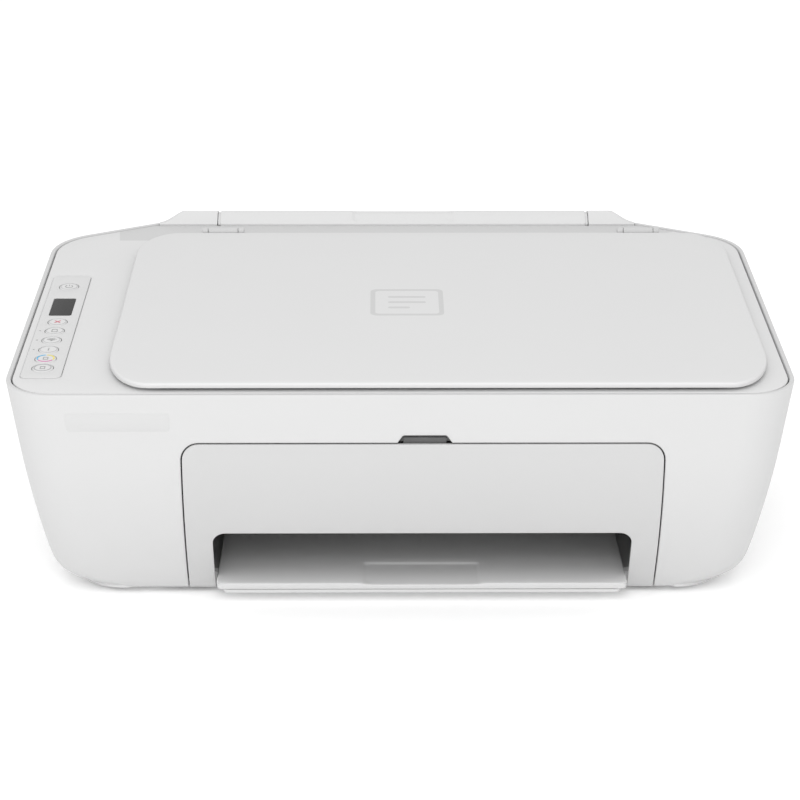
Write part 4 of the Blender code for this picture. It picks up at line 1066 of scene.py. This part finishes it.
def buildFeeder():
    s = feederSet
    low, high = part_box("input_tray")
    x0, x1 = low[0], high[0]
    start = rearY - s["run"] + 0.0003
    centre = (x0 + x1) / 2
    half = s["recess"] / 2
    recessBack = start + s["ramp"] + 0.0070
    rear = []
    for i in range(33):
        x = x1 - (x1 - x0) * i / 32
        rear.append((x, planLimit(x)))
    outline = arcPoints(x0 + 0.0012, start + 0.0012, 0.0012, 180, 270, 4)
    outline += arcPoints(x1 - 0.0012, start + 0.0012, 0.0012, 270, 360, 4) + rear
    loop = denser(outline, 0.004)

    def recessDip(x, y):
        side = smoothStep(abs(x - centre), half - 0.0012, half + 0.0004)
        behind = smoothStep(y, recessBack - 0.0012, recessBack + 0.0004)
        front = smoothStep(y, start + 0.0012, start + 0.0022)
        return s["recessDepth"] * (1 - side) * (1 - behind) * front

    def place(x, y, depth):
        fade = max(0.0, 1 - depth / 0.0030)
        return Vector((x, y, min(stripTop(y), topZ) - depth - recessDip(x, y) * fade))

    creases = []
    for inset in (-0.0004, 0.0004, 0.0012):
        line = [(centre - half + inset, start + 0.0012), (centre - half + inset, recessBack - inset),
                (centre + half - inset, recessBack - inset), (centre + half - inset, start + 0.0012)]
        creases.append(denser(line, 0.002, False))
    for offset in (-0.0020, -0.0010, 0.0, 0.0010, 0.0020):
        y = start + s["ramp"] + offset
        creases.append([(x0 + 0.001, y), (x1 - 0.001, y)])
    work = bmesh.new()
    addPanel(work, [loop], place, 0.0030, 0.0005, 0.004, 4, 0.0003, creases)
    for edgeX, side in ((x0, -1), (x1, 1)):
        outerX = edgeX + side * (s["gap"] - 0.0004)
        innerX = edgeX - side * 0.001
        ledge = roundedLoop(min(innerX, outerX), start + 0.001, max(innerX, outerX),
                            planLimit(x1) - 0.003, 0.0004, 3)
        addPanel(work, [denser(ledge, 0.002)], lambda x, y, t: Vector((x, y, stripTop(y) - s["ledge"] - t)),
                 0.0012, 0.0002, 0, 2)
    lean = s["lean"]
    up = Vector((0, math.sin(lean), math.cos(lean)))
    normal = Vector((0, -math.cos(lean), math.sin(lean)))
    faceY = rearY - s["run"] + s["ramp"] + 0.003
    head = Vector((0, faceY, topZ - s["thick"]))
    foot = (head.z - low[2]) / up.z
    plate = denser(roundedLoop(x0, -foot, x1, 0.0, 0.004), 0.02)

    def onPlate(x, v, depth):
        return Vector((x, 0, 0)) + Vector((0, head.y, head.z)) + up * v - normal * depth

    addPanel(work, [plate], onPlate, s["thick"], 0.0005, 0, 3, 0.0005)
    for x in s["ribs"]:  # paper ribs
        rib = roundedLoop(centre + x - 0.0006, -foot + 0.008, centre + x + 0.0006, -0.006, 0.0005, 3)
        addPanel(work, [rib], lambda a, v, t: onPlate(a, v, t - 0.0004), 0.0008, 0.0002, 0, 2)
    piece = makeObject("inputTray", work, looks["rear"], 30)
    return settle(piece, "feeder", "shell_white", "input_tray")


buildTray()
buildFeeder()
print("stage: trays made")


# kept CAD nodes: rounded edges, smooth round faces and finishes; the hinge ears take the painted-shade
# valley finish and the paper guides the painted-light tray finish
finishes = {
    "rear": ["rear_cover"],
    "valleyShade": ["lid_hinge_left", "lid_hinge_right"],
    # the paper guides take the painted-light tray plastic
    "tray": ["paper_guide_left", "paper_guide_right"],
    "grey": ["scanner_housing", "service_station", "color_cartridge", "chassis", "print_platen",
             "star_wheel_bar"],
    "black": ["scan_bar", "print_carriage", "black_cartridge",
              "power_supply", "mains_inlet"],
    "gear": ["feed_gear", "motor_gear", "idler_gear", "discharge_gear", "pick_gear", "idler_pulley",
             "motor_pulley"],
    "steel": ["scan_rod", "scan_motor", "feed_motor", "carriage_rail", "carriage_rod", "carriage_motor",
              "usb_port"],
    "rubber": ["feed_roller", "discharge_roller", "pick_roller", "drive_belt", "foot_front_left",
               "foot_front_right", "foot_rear_left", "foot_rear_right"],
    "board": ["control_board", "main_board"],
    "film": ["encoder_strip"],
    "glass": ["platen_glass"],
}


def dressNodes():
    for finish, nodes in finishes.items():
        for node in nodes:
            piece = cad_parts[node]
            piece.data.materials.clear()
            piece.data.materials.append(looks[finish])
            for polygon in piece.data.polygons:
                polygon.material_index = 0
            piece.data.shade_smooth()
            piece.data.set_sharp_from_angle(angle=math.radians(40))
            if finish != "film":
                edge = piece.modifiers.new("edge", "BEVEL")
                edge.width = 0.00025
                edge.segments = 2
                edge.limit_method = "ANGLE"
                edge.angle_limit = math.radians(50)
                edge.harden_normals = True


dressNodes()
print("stage: inner parts dressed")


# room, light and camera
cameraSet = {"place": (-0.0120, -1.3772, 0.5412), "down": 18.841, "turn": -0.535, "roll": 0.111,
             "focal": 2444.3, "width": 800}
lightSet = {
    "floor": (0.96, 0.96, 0.96), "world": 0.93, "floorGlow": 0.12,
    "lamps": (  # name, place, aim, size, power
        ("keyLight", (-0.15, -1.45, 1.65), (0, 0, 0.03), 1.2, 9.0),
        ("lowLight", (0.0, -2.2, 1.10), (0, 0, 0.02), 1.0, 12.0),
        ("leftLight", (-1.8, -0.8, 0.7), (0, 0, 0.05), 1.4, 2.0),
    ),
}


def buildRoom():
    work = bmesh.new()
    bmesh.ops.create_grid(work, x_segments=2, y_segments=2, size=4.0)
    mesh = bpy.data.meshes.new("floorSheet")
    work.to_mesh(mesh)
    work.free()
    floor = bpy.data.objects.new("floorSheet", mesh)
    bpy.context.scene.collection.objects.link(floor)
    look, _, shader = newLook("paperFloor")
    shader.inputs["Base Color"].default_value = (*lightSet["floor"], 1)
    shader.inputs["Roughness"].default_value = 0.9
    shader.inputs["Emission Color"].default_value = (1, 1, 1, 1)
    shader.inputs["Emission Strength"].default_value = lightSet["floorGlow"]
    mesh.materials.append(look)
    world = bpy.data.worlds.new("studio")
    world.use_nodes = True
    sky = world.node_tree.nodes["Background"]
    sky.inputs["Color"].default_value = (1, 1, 1, 1)
    sky.inputs["Strength"].default_value = lightSet["world"]
    bpy.context.scene.world = world
    for name, place, aim, size, power in lightSet["lamps"]:
        data = bpy.data.lights.new(name, "AREA")
        data.energy = power
        data.size = size
        light = bpy.data.objects.new(name, data)
        light.location = place
        light.rotation_euler = (Vector(aim) - Vector(place)).to_track_quat("-Z", "Y").to_euler()
        bpy.context.scene.collection.objects.link(light)


def buildCamera():
    s = cameraSet
    pitch, yaw, roll = (math.radians(s[k]) for k in ("down", "turn", "roll"))
    right = Vector((math.cos(yaw), math.sin(yaw), 0))
    forward = Vector((-math.sin(yaw) * math.cos(pitch), math.cos(yaw) * math.cos(pitch), -math.sin(pitch)))
    up = right.cross(forward)
    rolledRight = math.cos(roll) * right + math.sin(roll) * up
    rolledUp = -math.sin(roll) * right + math.cos(roll) * up
    data = bpy.data.cameras.new("viewCamera")
    data.sensor_width = 36
    data.lens = s["focal"] / s["width"] * data.sensor_width
    camera = bpy.data.objects.new("viewCamera", data)
    camera.matrix_world = Matrix.Translation(s["place"]) @ Matrix(
        (rolledRight, rolledUp, -forward)).transposed().to_4x4()
    bpy.context.scene.collection.objects.link(camera)
    bpy.context.scene.camera = camera
    bpy.context.scene.view_settings.view_transform = "Standard"


buildRoom()
buildCamera()
print("stage: room, light and camera made")
